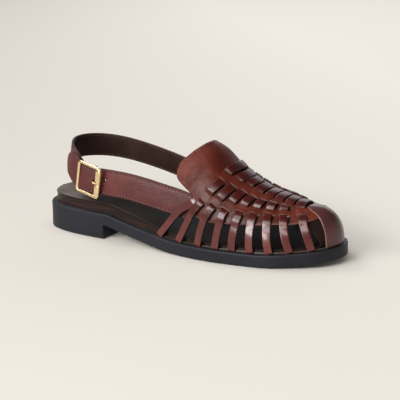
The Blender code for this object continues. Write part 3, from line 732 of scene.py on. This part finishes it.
def sheetColumns():
    # each column: its path by rise, five key rises, how strongly the weave moves it, its strip
    columns, tongue = [], sheetDesign["tongue"]
    for order, path in enumerate(tongue):
        low = path[0][0]
        keys = [low] + [key + (1 - key) * 0.12 * (1 - order / len(tongue)) for key in sheetKeys(1)[1:]]
        keys[1] = max(keys[1], low + 0.05)
        keys[2] = max(keys[2], keys[1] + 0.05)
        columns.append((path, keys, 0.0, None))
    for number in range(1, frontStrip + 1):
        path, keys = weave["paths"][number], sheetKeys(number)
        for offset, strength in ((1, 0.4), (0.36, 1), (-0.36, 1), (-1, 0.8)):
            moved = []
            for rise, along in path:
                at = min(max(rise, 0.05), 0.985)
                stretch = (lastPoint(along + 1, at) - lastPoint(along - 1, at)).length / 2
                moved.append((rise, along + offset * sheetDesign["slotWidth"] / 2 / stretch))
            columns.append((moved, keys, strength, number if offset > -1 else None))
        if number < frontStrip:
            ahead = weave["paths"][number + 1]
            middle = [(rise, (readTable(path, rise) + readTable(ahead, rise)) / 2)
                      for rise in sorted({rise for rise, _ in path + ahead})]
            mixed = [(a + b) / 2 for a, b in zip(keys, sheetKeys(number + 1))]
            columns.append((middle, mixed, 0.0, None))
    for along, top, shift in sheetDesign["front"]:
        keys = [0.0] + [key + shift for key in sheetKeys(frontStrip)[1:]]
        columns.append((((0, along), (0.5, along), (0.75, top), (1, top)), keys, 0.0, None))
    return columns


def columnRows(path, keys):
    # rises of a column's vertices, each with its section and whether it starts or ends as a lip
    low, final = path[0][0], len(sheetDesign["rows"]) - 1
    if low == 0:  # the column starts where its path meets the sheet's lower edge
        low = keys[0] or 0.4
        for _ in range(12):
            low = readTable(sheetDesign["edge"], readTable(path, low))
    stops = [low] + [max(key, low + 0.02 * (n + 1)) for n, key in enumerate(keys[1:])] + [1.0]
    rows = []
    for section, steps in enumerate(sheetDesign["rows"]):
        start, end = stops[section], stops[section + 1]
        along = readTable(path, (start + end) / 2)
        reach = (lastPoint(along, end) - lastPoint(along, start)).length
        lip = min(weave["slotHalf"] / max(reach, 0.1), 0.25) * (end - start)
        begin = start + (lip if section else 0)
        finish = end - (lip if section < final else 0)
        for step in range(steps + 1):
            rows.append((begin + (finish - begin) * step / steps, section,
                         step == 0 and section > 0, step == steps and section < final))
    return rows


def buildSheet():
    columns = sheetColumns()
    tables = [columnRows(path, keys) for path, keys, _, _ in columns]
    openings = set()
    for k, (_, _, _, number) in enumerate(columns[:-1]):
        if number and columns[k + 1][2]:
            openings |= {(k, row) for row, (_, section, _, finalLip) in enumerate(tables[k])
                         if finalLip and not (number == frontStrip and section in (1, 2))}
    points, faces, deep = [], [], []
    for side in (1, -1):
        faces += gridFaces(len(columns), len(tables[0]), len(points), flip=side < 0, skip=openings)
        for order, ((path, _, strength, number), rows) in enumerate(zip(columns, tables)):
            # painted shade: the crease on each strip's toe side is darkened where the strip lies on the sheet
            creased = strength == 0.8 and order < len(columns) - 8  # not at the front strip
            for rise, section, firstLip, finalLip in rows:
                along = readTable(path, rise)
                whole = number == frontStrip and section == 2  # no slots here
                behind = section % 2 == 1 or whole
                lip = (firstLip or finalLip) and not whole
                out = weave["sheetOut"] + sheetDesign["lip" if lip else "bend"][behind] * strength
                points.append(onLast(side * along, rise, out - 0.5 * ease(30 - along, 0, 8)))
                deep.append(sheetDesign["shade"] if creased and section % 2 == 0 else 0.0)
    sheet = makePiece("slotted_vamp", points, faces, [vampLeather, vampLiningAndShade, cutEdge], deep=deep,
                      merge=0.00008, outward=False)
    giveWall(sheet, weave["sheetThickness"], levels=2)
    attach(sheet, "root")
    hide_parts("upper")


buildInsoleEdge()
buildStrips()
buildSheet()
print("upper: strips and sheet woven")

# ---- upper: toe band
toeBand = {
    "wall": 1.4,
    "out": -0.3,
    "liningAndShadeWall": 0.7,
    "liningAndShadeOut": -3.2,
    "liningAndShadePast": (3.0, 26.0),     # outer and inner side
    # rise, then how far the band reaches along the welt each way
    "reach": ((0, 15.5), (0.17, 15.5), (0.415, 16.7), (0.66, 20), (0.785, 26), (0.88, 28.5), (0.95, 27),
              (1, 23)),
}


def toeSheet(name, rows, half, low, out, past, materials):
    # past: how far the sheet reaches beyond the band, by side and rise
    points, faces = [], []
    for side in (1, -1):
        faces += gridFaces(rows + 1, half + 1, len(points), flip=side < 0)
        for rise in (low + (1 - low) * row / rows for row in range(rows + 1)):
            reach = readTable(toeBand["reach"], rise) + past(side, rise)
            points += [onLast(side * max(reach * k / half, 0.001), rise, out) for k in range(half + 1)]
    return makePiece(name, points, faces, materials, merge=0.00012, outward=False)


def liningAndShadePast(side, rise):
    # on the outer side it reaches further, to fill the openings with painted shade
    bulge = 8 * ease(rise, 0.0, 0.45) * (1 - ease(rise, 0.75, 0.9))
    return toeBand["liningAndShadePast"][side < 0] + (bulge if side > 0 else 0)


def buildToeBand():
    band = toeSheet("toe_band", 30, 12, 0, toeBand["out"], lambda side, rise: 0,
                    [toeLeather, vampLiningAndShade, cutEdge])
    giveWall(band, toeBand["wall"], levels=1)
    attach(band, "root")


def buildToeLiningAndShade():
    # thin dark sheet that reaches past the band on both sides: partly a lining, and partly painted shade for
    # the dark inside the openings
    lining = toeSheet("toe_lining_and_shade", 22, 14, 0.02, toeBand["liningAndShadeOut"], liningAndShadePast,
                      [vampLiningAndShade, liningLeather])
    giveWall(lining, toeBand["liningAndShadeWall"], rim=1)
    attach(lining, "root")


buildToeBand()
buildToeLiningAndShade()
print("upper: toe band built")

# ---- straps
straps = {
    "width": 19.2,
    "sideShare": 1.075,      # the side strap's width beside the heel strap's
    "thickness": 2.0,
    "gap": 0.3,
    "stitchInset": 1.85,
    "groove": 0.16,
    "holes": ((4.6, 0), (14.8, 1.2)),     # past the buckle and above the middle
    "holeRadius": 1.25,
    "barRadius": 1.05,       # of the buckle's centre bar, which the heel strap folds round
    # x, from heel, height, lean of the top toward the foot in degrees
    "side": ((24.7, 29.6, 62.5, 7), (28.5, 35.2, 57.7, 7), (31.8, 43.5, 50.5, 8), (33.2, 53.4, 47.3, 9),
             (33.6, 68.0, 47.1, 10), (34.0, 88.0, 46.6, 11), (34.0, 106.0, 44.6, 12),
             (33.2, 124.0, 41.4, 12), (31.6, 138.0, 38.4, 12), (32.2, 151.0, 35.2, 13)),
    "heel": ((-23.7, 151.0, 39.3, 14), (-21.3, 140.0, 42.8, 13), (-20.2, 131.0, 45.4, 12),
             (-21.3, 118.0, 48.6, 11), (-23.4, 100.0, 52.3, 10), (-25.6, 80.0, 55.6, 9),
             (-27.0, 60.0, 58.3, 8), (-26.6, 46.0, 59.8, 8), (-23.2, 34.8, 61.0, 8),
             (-17.0, 26.0, 61.8, 8), (-8.0, 21.0, 62.5, 8), (2.0, 19.8, 62.6, 8),
             (11.0, 22.4, 61.8, 8), (17.6, 27.0, 60.0, 7)),
    "buckleFromHeel": 55.2,
}
strapHalf, sideHalf = straps["width"] / 2, straps["width"] * straps["sideShare"] / 2
behindSide = -(straps["thickness"] + straps["gap"])  # the heel strap's middle, from the side strap's
barOut = -(straps["thickness"] * 1.5 + 2 * straps["gap"] + straps["barRadius"])


class StrapLine:
    # a strap's centre line with its lean, read by distance from its first end
    def __init__(self, rows):
        self.path = smoothPath([Vector(row) for row in rows], 14)
        self.runs = runningLengths([Vector(p[:3]) for p in self.path])
        self.length = self.runs[-1]

    def at(self, run):
        return atRun(self.path, self.runs, min(max(run, 0), self.length))

    def frameAt(self, run):  # centre, along, outward and upward
        here = self.at(run)
        along = (Vector(self.at(run + 0.6)[:3]) - Vector(self.at(run - 0.6)[:3])).normalized()
        lean = radians(here[3])
        flat = Vector((along.y, -along.x, 0)).normalized()
        up = along.cross(flat).normalized()
        up = -up if up.z < 0 else up
        outward = flat * cos(lean) + up * sin(lean)
        return Vector(here[:3]), along, outward, up * cos(lean) - flat * sin(lean)

    def station(self, run, up=0.0, out=0.0):  # a point beside the line, upward and outward
        centre, _, outward, upward = self.frameAt(run)
        return centre + upward * up + outward * out, upward, outward


sideLine, heelLine = StrapLine(straps["side"]), StrapLine(straps["heel"])
buckleRun = min(sideLine.runs, key=lambda run: abs(sideLine.at(run)[1] - straps["buckleFromHeel"]))


def strapProfile():
    # outer face with a stitch groove near each edge, rounded edges, flat inner face
    half, depth, groove = strapHalf, straps["thickness"] / 2, straps["groove"]
    line = half - straps["stitchInset"]
    right = [(line * 0.4, depth + 0.1), (line - 1, depth + 0.03), (line - 0.35, depth - groove * 0.6),
             (line, depth - groove), (line + 0.35, depth - groove * 0.6), (line + 0.9, depth),
             (half - 0.25, depth - 0.22), (half, depth - 0.75), (half, 0.1), (half - 0.06, 0), (half, -0.1),
             (half, 0.75 - depth), (half - 0.25, 0.22 - depth), (line + 0.7, -depth), (line, groove - depth),
             (line - 0.7, -depth), (line * 0.3, -0.03 - depth)]
    left = [(-w, o) for w, o in right[::-1]]
    return left[-6:] + [(0, depth + 0.12)] + right + left[:-6]


def sweptStrap(name, stations):  # stations: centre, upward, outward
    points, faces = sweep(stations, strapProfile())
    kinds = [0] * 12 + [2] * 7 + [1] * 8 + [2] * 8  # outer face, edge, lining, edge
    return makePiece(name, points, faces, [strapLeather, liningLeather, edgePaintAndShade],
                     kinds * (len(stations) - 1) + [2, 2])


def punchHoles(strap, holes):  # holes: stations of the strap's line
    cutters = []
    for number, (centre, _, direction) in enumerate(holes):
        bpy.ops.mesh.primitive_cylinder_add(vertices=24, radius=straps["holeRadius"] * 0.001, depth=0.008)
        cutter = bpy.context.object
        cutter.matrix_world = (Matrix.Translation(placed(centre))
                               @ direction.to_track_quat("Z", "Y").to_matrix().to_4x4())
        cutter.data.materials.append(liningLeather)
        cut = strap.modifiers.new(f"hole{number}", "BOOLEAN")
        cut.operation, cut.solver, cut.object = "DIFFERENCE", "EXACT", cutter
        cutters.append(cutter)
    applyModifiers(strap)
    for cutter in cutters:
        bpy.data.objects.remove(cutter)


def buildSideStrap():
    runs = [sideHalf * (1 - cos(radians(angle))) for angle in range(0, 90, 6)]
    while runs[-1] < sideLine.length - 1.2:
        runs.append(runs[-1] + 1.25)
    stations = []
    for run in runs:
        centre, upward, outward = sideLine.station(run)
        rounding = 1 - min(run / sideHalf, 1)
        share = sideHalf * max(sqrt(1 - rounding ** 2), 0.06) / strapHalf
        stations.append((centre, upward * share, outward))
    strap = sweptStrap("side_strap_outer", stations)
    punchHoles(strap, [sideLine.station(buckleRun + past, above) for past, above in straps["holes"]])
    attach(strap, "root")
    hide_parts("side_strap")


def buildHeelStrap():
    steps = int(heelLine.length / 1.6)
    stations = [heelLine.station(heelLine.length * step / steps) for step in range(steps + 1)]
    run = strapHalf
    while run < buckleRun - 0.6:
        stations.append(sideLine.station(run, out=behindSide))
        run += 1.5
    # folded round the bar, then forward and pressed against itself
    centre, along, outward, upward = sideLine.frameAt(buckleRun)
    turn = straps["barRadius"] + straps["gap"] + straps["thickness"] / 2
    fold = [(turn * sin(a), barOut + turn * cos(a), a)
            for a in (pi * step / 18 for step in range(19))]
    end = 2 * behindSide
    fold += [(t, o, pi) for t, o in ((-1.5, barOut - turn), (-4.4, barOut - turn + 0.7),
                                     (-7.5, end - 1.4), (-12, end - 1.2))]
    for t, o, a in fold:
        stations.append((centre + along * t + outward * o, upward, outward * cos(a) + along * sin(a)))
    strap = sweptStrap("heel_strap_lined", stations)
    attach(strap, "root")
    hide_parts("heel_strap")


buildSideStrap()
buildHeelStrap()
print("straps built")


# ---- stitching, laid along guide lines by Geometry Nodes
def stitchTree():
    # every other point of the guide gets a stitch, and the rest a dark dot, the painted shade of a hole
    inputs = {"Guide": "Geometry", "Spacing": "Float", "Length": "Float", "Thickness": "Float",
              "Hole": "Float", "Thread Material": "Material", "Hole Material": "Material"}
    tree, given, result = newGroup("stitchRow", "GeometryNodeTree", inputs, {"Stitches": "Geometry"})

    def geometry(kind, outlet, settings=None, **values):
        return addNode(tree, "GeometryNode" + kind, settings, **values).outputs[outlet]

    line = geometry("MeshToCurve", "Curve", Mesh=given["Guide"])
    spots = geometry("ResampleCurve", "Curve", {"mode": "LENGTH"}, Curve=line, Length=given["Spacing"])
    along = addNode(tree, "FunctionNodeAlignRotationToVector", {"axis": "X"},
                    Vector=geometry("InputTangent", "Tangent")).outputs["Rotation"]
    facing = geometry("InputNamedAttribute", "Attribute", {"data_type": "FLOAT_VECTOR"}, Name="facing")
    turned = addNode(tree, "FunctionNodeAlignRotationToVector", {"axis": "Z", "pivot_axis": "X"},
                     Rotation=along, Vector=facing).outputs["Rotation"]
    odd = mathNode(tree, "MODULO", geometry("InputIndex", "Index"), 2)
    even = mathNode(tree, "SUBTRACT", 1, odd)
    gathered = addNode(tree, "GeometryNodeJoinGeometry")
    for long, wide, height, chosen, paint in (("Length", "Thickness", 0.8, even, "Thread Material"),
                                              ("Hole", "Hole", 0.3, odd, "Hole Material")):
        size = addNode(tree, "CombineXYZ", X=given[long], Y=given[wide],
                       Z=mathNode(tree, "MULTIPLY", given[wide], height)).outputs["Vector"]
        shape = geometry("MeshUVSphere", "Mesh", Segments=8, Rings=5, Radius=0.5)
        spread = geometry("InstanceOnPoints", "Instances", Points=spots, Instance=shape, Rotation=turned,
                          Scale=size, Selection=chosen)
        solid = geometry("RealizeInstances", "Geometry", Geometry=spread)
        feed(gathered, Geometry=geometry("SetMaterial", "Geometry", Geometry=solid, Material=given[paint]))
    feed(result, Stitches=gathered.outputs["Geometry"])
    return tree


stitches = stitchTree()


def sewRows(name, guides, thread, spacing=1.47, length=1.9, thickness=0.5, hole=0.95):
    # guides: lists of (point, facing); sizes in millimetres
    points, edges, facing = [], [], []
    for guide in guides:
        edges += [(len(points) + k, len(points) + k + 1) for k in range(len(guide) - 1)]
        points += [point for point, _ in guide]
        facing += [c for _, out in guide for c in out]
    row = makePiece(name, points, [], [], edges=edges)
    row.data.attributes.new("facing", "FLOAT_VECTOR", "POINT").data.foreach_set("vector", facing)
    sewn = row.modifiers.new("stitches", "NODES")
    sewn.node_group = stitches
    ids = {item.name: item.identifier for item in stitches.interface.items_tree if item.in_out == "INPUT"}
    for label, value in (("Spacing", spacing), ("Length", length), ("Thickness", thickness), ("Hole", hole)):
        sewn[ids[label]] = value * 0.001
    sewn[ids["Thread Material"]] = thread
    sewn[ids["Hole Material"]] = stitchHole
    applyModifiers(row)
    row.data.shade_smooth()
    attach(row, "root")


seamDepth = straps["thickness"] / 2 - (straps["groove"] - 0.12)


def strapGuide(line, spots, face=1):  # spots: run and height on the strap; face -1 is the inner one
    stations = [line.station(run, up, seamDepth * face) for run, up in spots]
    return [(point, outward * face) for point, _, outward in stations]


def edgeGuide(line, start, end, edge, face=1):
    up = edge * (strapHalf - straps["stitchInset"]) * (straps["sideShare"] if line is sideLine else 1)
    steps = int((end - start) / 2)
    return strapGuide(line, [(start + (end - start) * step / steps, up) for step in range(steps + 1)], face)


def tailGuide():
    # round the free end of the side strap
    half = sideHalf - straps["stitchInset"]
    return strapGuide(sideLine, [(sideHalf - a, b) for a, b in arc(0, 0, half, -90, 180, 20)])


def tongueGuide(inset=2.4):
    # follows the tongue's free edge over the instep, from one lobe's foot to the other's
    tongue = sheetDesign["tongue"]
    corner = [path[0][::-1] for path in tongue[::-1]]
    corner += [(readTable(tongue[0], rise), rise) for rise in (0.5, 0.6, 0.7, 0.8, 0.9, 0.97)]
    half = smoothPath([Vector(spot) for spot in corner], 8)
    track = [(spot.x, spot.y) for spot in half] + [(-spot.x, spot.y) for spot in half[::-1]]
    line = [lastPoint(*spot) for spot in track]
    guide = []
    for k, spot in enumerate(track):
        normal = lastNormal(*spot)
        inward = heading(line, k).cross(normal)
        guide.append((line[k] + inward * inset + normal * (weave["sheetOut"] + 0.62), normal))
    return guide


sewRows("side_strap_stitches",
        [edgeGuide(sideLine, strapHalf, sideLine.length - 4, edge) for edge in (1, -1)] + [tailGuide()],
        strapThread)
sewRows("heel_strap_stitches",
        [edgeGuide(heelLine, 3, heelLine.length, edge, face) for edge in (1, -1) for face in (1, -1)],
        liningThread, hole=0.75)
sewRows("tongue_stitches", [tongueGuide()], vampThread, spacing=1.0, length=1.3, thickness=0.34, hole=0.32)
print("stitching sewn")

# ---- buckle
buckle = {
    "length": 26.6, "height": 25.5, "corner": 3.2, "innerCorner": 1.0, "rearBar": 2.5, "frontBar": 2.8,
    "sideBar": 2.2, "thickness": 2.7, "setback": 12.3, "prongRadius": 0.85, "armRadius": 0.65,
    "barInset": 2.95, "lift": 1.5,
    "upright": 7.0,          # degrees that it stands steeper than the strap
    "raised": 0.9,           # how far the frame stands above the strap's middle
    "spin": 4.0,             # degrees that its front end points down
    "swing": 11.0,           # degrees that its front end stands off the strap
    "roller": (4.8, 3.1, 1.0),     # width, thickness and corner of the sleeve on the front bar
    # how thick the sleeve is beside and under the prong
    "waist": ((1.5, 1), (1.1, 0.94), (0.75, 0.8), (0.4, 0.74), (0, 0.72)),
}


def roundedRing(left, right, half, radius, steps=8):
    spots = ((right - radius, half - radius), (left + radius, half - radius), (left + radius, radius - half),
             (right - radius, radius - half))
    return [point for turn, spot in enumerate(spots) for point in arc(*spot, radius, 90 * turn, 90, steps)]


def rotated(a, b, degrees):
    angle = radians(degrees)
    return a * cos(angle) - b * sin(angle), b * cos(angle) + a * sin(angle)


def bucklePoint(t, w, o, flat=False):  # along the strap, up and out; flat: as the strap lies
    centre, along, outward, upward = sideLine.frameAt(buckleRun)
    t, w = rotated(t, w, -buckle["spin"])
    if not flat:
        t, o = rotated(t, o, buckle["swing"])
        o, w = rotated(o, w, -buckle["upright"])
    return centre + upward * buckle["raised"] + along * t + outward * o + upward * w


def buildBuckleFrame():
    half, side = buckle["height"] / 2, buckle["sideBar"]
    left, right = -buckle["setback"], buckle["length"] - buckle["setback"]
    low, high = buckle["lift"], buckle["lift"] + buckle["thickness"]
    outer = roundedRing(left, right, half, buckle["corner"])
    inner = roundedRing(left + buckle["rearBar"], right - buckle["frontBar"], half - side,
                        buckle["innerCorner"])
    section = [(0.5 - 0.5 * copysign(abs(a) ** 0.75, a), 0.5 + 0.5 * copysign(abs(b) ** 0.75, b))
               for a, b in circle(24)]
    points = [bucklePoint(a[0] + (b[0] - a[0]) * share, a[1] + (b[1] - a[1]) * share, low + (high - low) * up)
              for a, b in zip(outer, inner) for share, up in section]
    faces = tubeFaces(len(outer), len(section), closed=True)
    # the sleeve on the front bar, thinner where the prong rests
    width, depth, corner = buckle["roller"]
    sleeve = ribbonProfile(width, depth, 0.12, corner, 5)
    end, middle, level = half - side - 0.12, right - 0.25 - width / 2, (low + high) / 2
    waist = [(-w, size) for w, size in buckle["waist"]] + list(buckle["waist"][-2::-1])
    rounds = [(-end, 0.86), (0.25 - end, 0.97), (0.6 - end, 1)]
    rounds += [(w - buckle["raised"], size) for w, size in waist] + [(-w, size) for w, size in rounds[::-1]]
    faces += tubeFaces(len(rounds), len(sleeve), len(points))
    points += [bucklePoint(middle + a * (0.5 + size / 2), w, level + o * size)
               for w, size in rounds for a, o in sleeve]
    # the centre bar behind the strap, and the arm that carries it on each side
    spread, inside, arm = half - side / 2, half - buckle["barInset"], buckle["armRadius"]
    for wFrom, oFrom, wTo, radius in ((spread, level, inside, arm), (-spread, level, -inside, arm),
                                      (-inside - 0.3, barOut, inside + 0.3, straps["barRadius"])):
        start = bucklePoint(0, wFrom, oFrom, flat=oFrom == barOut)
        finish = bucklePoint(0, wTo, barOut, flat=True)
        axis = (finish - start).normalized()
        across = axis.orthogonal().normalized()
        ends = [(spot, across, axis.cross(across)) for spot in (start, finish)]
        more, joins = sweep(ends, circle(20, radius), len(points))
        points += more
        faces += joins
    piece = makePiece("buckle_polished", points, faces, [polishedBrass], smooth=38)
    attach(piece, "root")
    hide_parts("buckle_frame")


def buildProng():
    radius = buckle["prongRadius"]
    eye = straps["barRadius"] + straps["gap"] + radius
    rest = buckle["lift"] + buckle["thickness"] + radius - 0.1
    off = tan(radians(buckle["swing"]))
    route = arc(0, barOut, eye, -200, 285, 19)
    route += [(2.4, barOut + eye), (4.2, -0.9), (5.2, 1.2), (6.6, rest - 0.7 + off * 6),
              (8.2, rest + off * 8), (10.6, rest + off * 10.2)]
    path = smoothPath([Vector((x, 0, z)) for x, z in route], 4)
    ring = circle(24)
    points = []
    for k, spot in enumerate(path):
        along = heading(path, k)
        size = radius * min(1.0, 0.45 + 0.55 * min((len(path) - 1 - k) / 4, 1.0))
        for a, b in ring:
            q = spot + Vector((-along.z, 0, along.x)) * a * size
            points.append(bucklePoint(q.x, b * size - buckle["raised"], q.z, flat=True))
    prong = makePiece("prong_polished", points, tubeFaces(len(path), len(ring)), [polishedBrass], smooth=50)
    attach(prong, "root")
    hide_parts("buckle_prong")


buildBuckleFrame()
buildProng()
print("buckle built")

# ---- floor, lights and camera
stage = {
    "floor": (0.512, 0.49, 0.452),
    "floorZ": -0.0003,
    "glow": (1.0, 0.955, 0.875),
    "glowStrength": (0.02, 0.40),
    "glowReach": (-0.34, 0.40),          # metres from the shoe's middle
    "glowDirection": (-0.785, 0.62, 0),
    "contactShade": 0.014,
    "horizon": (0.56, 0.545, 0.52), "wall": (0.12, 0.118, 0.115), "ceiling": (0.05, 0.05, 0.054),
    # place, size, power and colour
    "lights": {
        "key": ((-0.20, -0.95, 1.25), (0.7, 0.5), 8.5, (1, 0.985, 0.97)),
        "front": ((1.17, 0.20, 1.20), (1.4, 0.3), 13, (1, 0.98, 0.96)),
        "side": ((1.28, -0.36, 0.77), (1.25, 0.36), 25, (1, 0.98, 0.96)),
        "back": ((-1.23, -0.33, 0.62), (1.1, 0.5), 3.0, (0.93, 0.93, 1.0)),
    },
    "azimuth": 122.286, "elevation": 15.432, "roll": -0.984,
    "distance": 1.51137, "targetHeight": 0.030, "lens": 173.6, "shift": (0.0135, 0.0078),
}
target = Vector((0, 0, stage["targetHeight"]))


def buildFloor():
    bpy.ops.mesh.primitive_plane_add(size=14)
    floor = bpy.context.object
    floor.name = "floor"
    for corner in floor.data.vertices:
        corner.co.z = stage["floorZ"]
    material, tree, shader = newMaterial("floorPaper", Roughness=0.9, Specular_IOR_Level=0.1,
                                         Emission_Color=(*stage["glow"], 1))
    where = objectPlace(tree)
    tone = tuple(c * 0.995 for c in stage["floor"])
    along = addNode(tree, "VectorMath", {"operation": "DOT_PRODUCT"})
    join(along.inputs[0], where)
    join(along.inputs[1], stage["glowDirection"])
    glow = rangeOf(tree, along.outputs["Value"], *stage["glowStrength"], *stage["glowReach"])
    near = addNode(tree, "AmbientOcclusion", Distance=stage["contactShade"]).outputs["AO"]
    feed(shader, Base_Color=ramp(tree, noise(tree, where, 4.0), ((0.0, tone), (1.0, stage["floor"]))),
         Emission_Strength=mathNode(tree, "MULTIPLY", glow, near))
    floor.data.materials.append(material)


def buildLights():
    world = bpy.data.worlds.new("studio")
    bpy.context.scene.world = world
    world.use_nodes = True
    tree = world.node_tree
    where = addNode(tree, "TexCoord").outputs["Generated"]
    height = addNode(tree, "SeparateXYZ", Vector=where).outputs["Z"]
    stops = ((0.0, stage["horizon"]), (0.2, stage["horizon"]), (0.5, stage["wall"]), (0.8, stage["ceiling"]))
    feed(tree.nodes["Background"], Color=ramp(tree, height, stops))
    for name, (position, size, power, colour) in stage["lights"].items():
        light = bpy.data.lights.new(name, "AREA")
        light.shape = "RECTANGLE"
        light.size, light.size_y = size
        light.energy, light.color = power, colour
        lamp = addObject(name, light)
        lamp.location = position
        lamp.rotation_euler = (Vector(position) - target).to_track_quat("Z", "Y").to_euler()


def buildCamera():
    bpy.context.scene.view_settings.view_transform = "Standard"
    camera = bpy.data.cameras.new("camera")
    camera.sensor_width, camera.lens = 36, stage["lens"]
    camera.shift_x, camera.shift_y = stage["shift"]
    view = addObject("camera", camera)
    azimuth, elevation, roll = (radians(stage[k]) for k in ("azimuth", "elevation", "roll"))
    turned = Matrix.Rotation(azimuth, 4, "Z") @ Matrix.Rotation(pi / 2 - elevation, 4, "X")
    turned @= Matrix.Rotation(roll, 4, "Z")
    view.matrix_world = Matrix.Translation(target) @ turned @ Matrix.Translation((0, 0, stage["distance"]))
    bpy.context.scene.camera = view


buildFloor()
buildLights()
buildCamera()
print("stage ready")
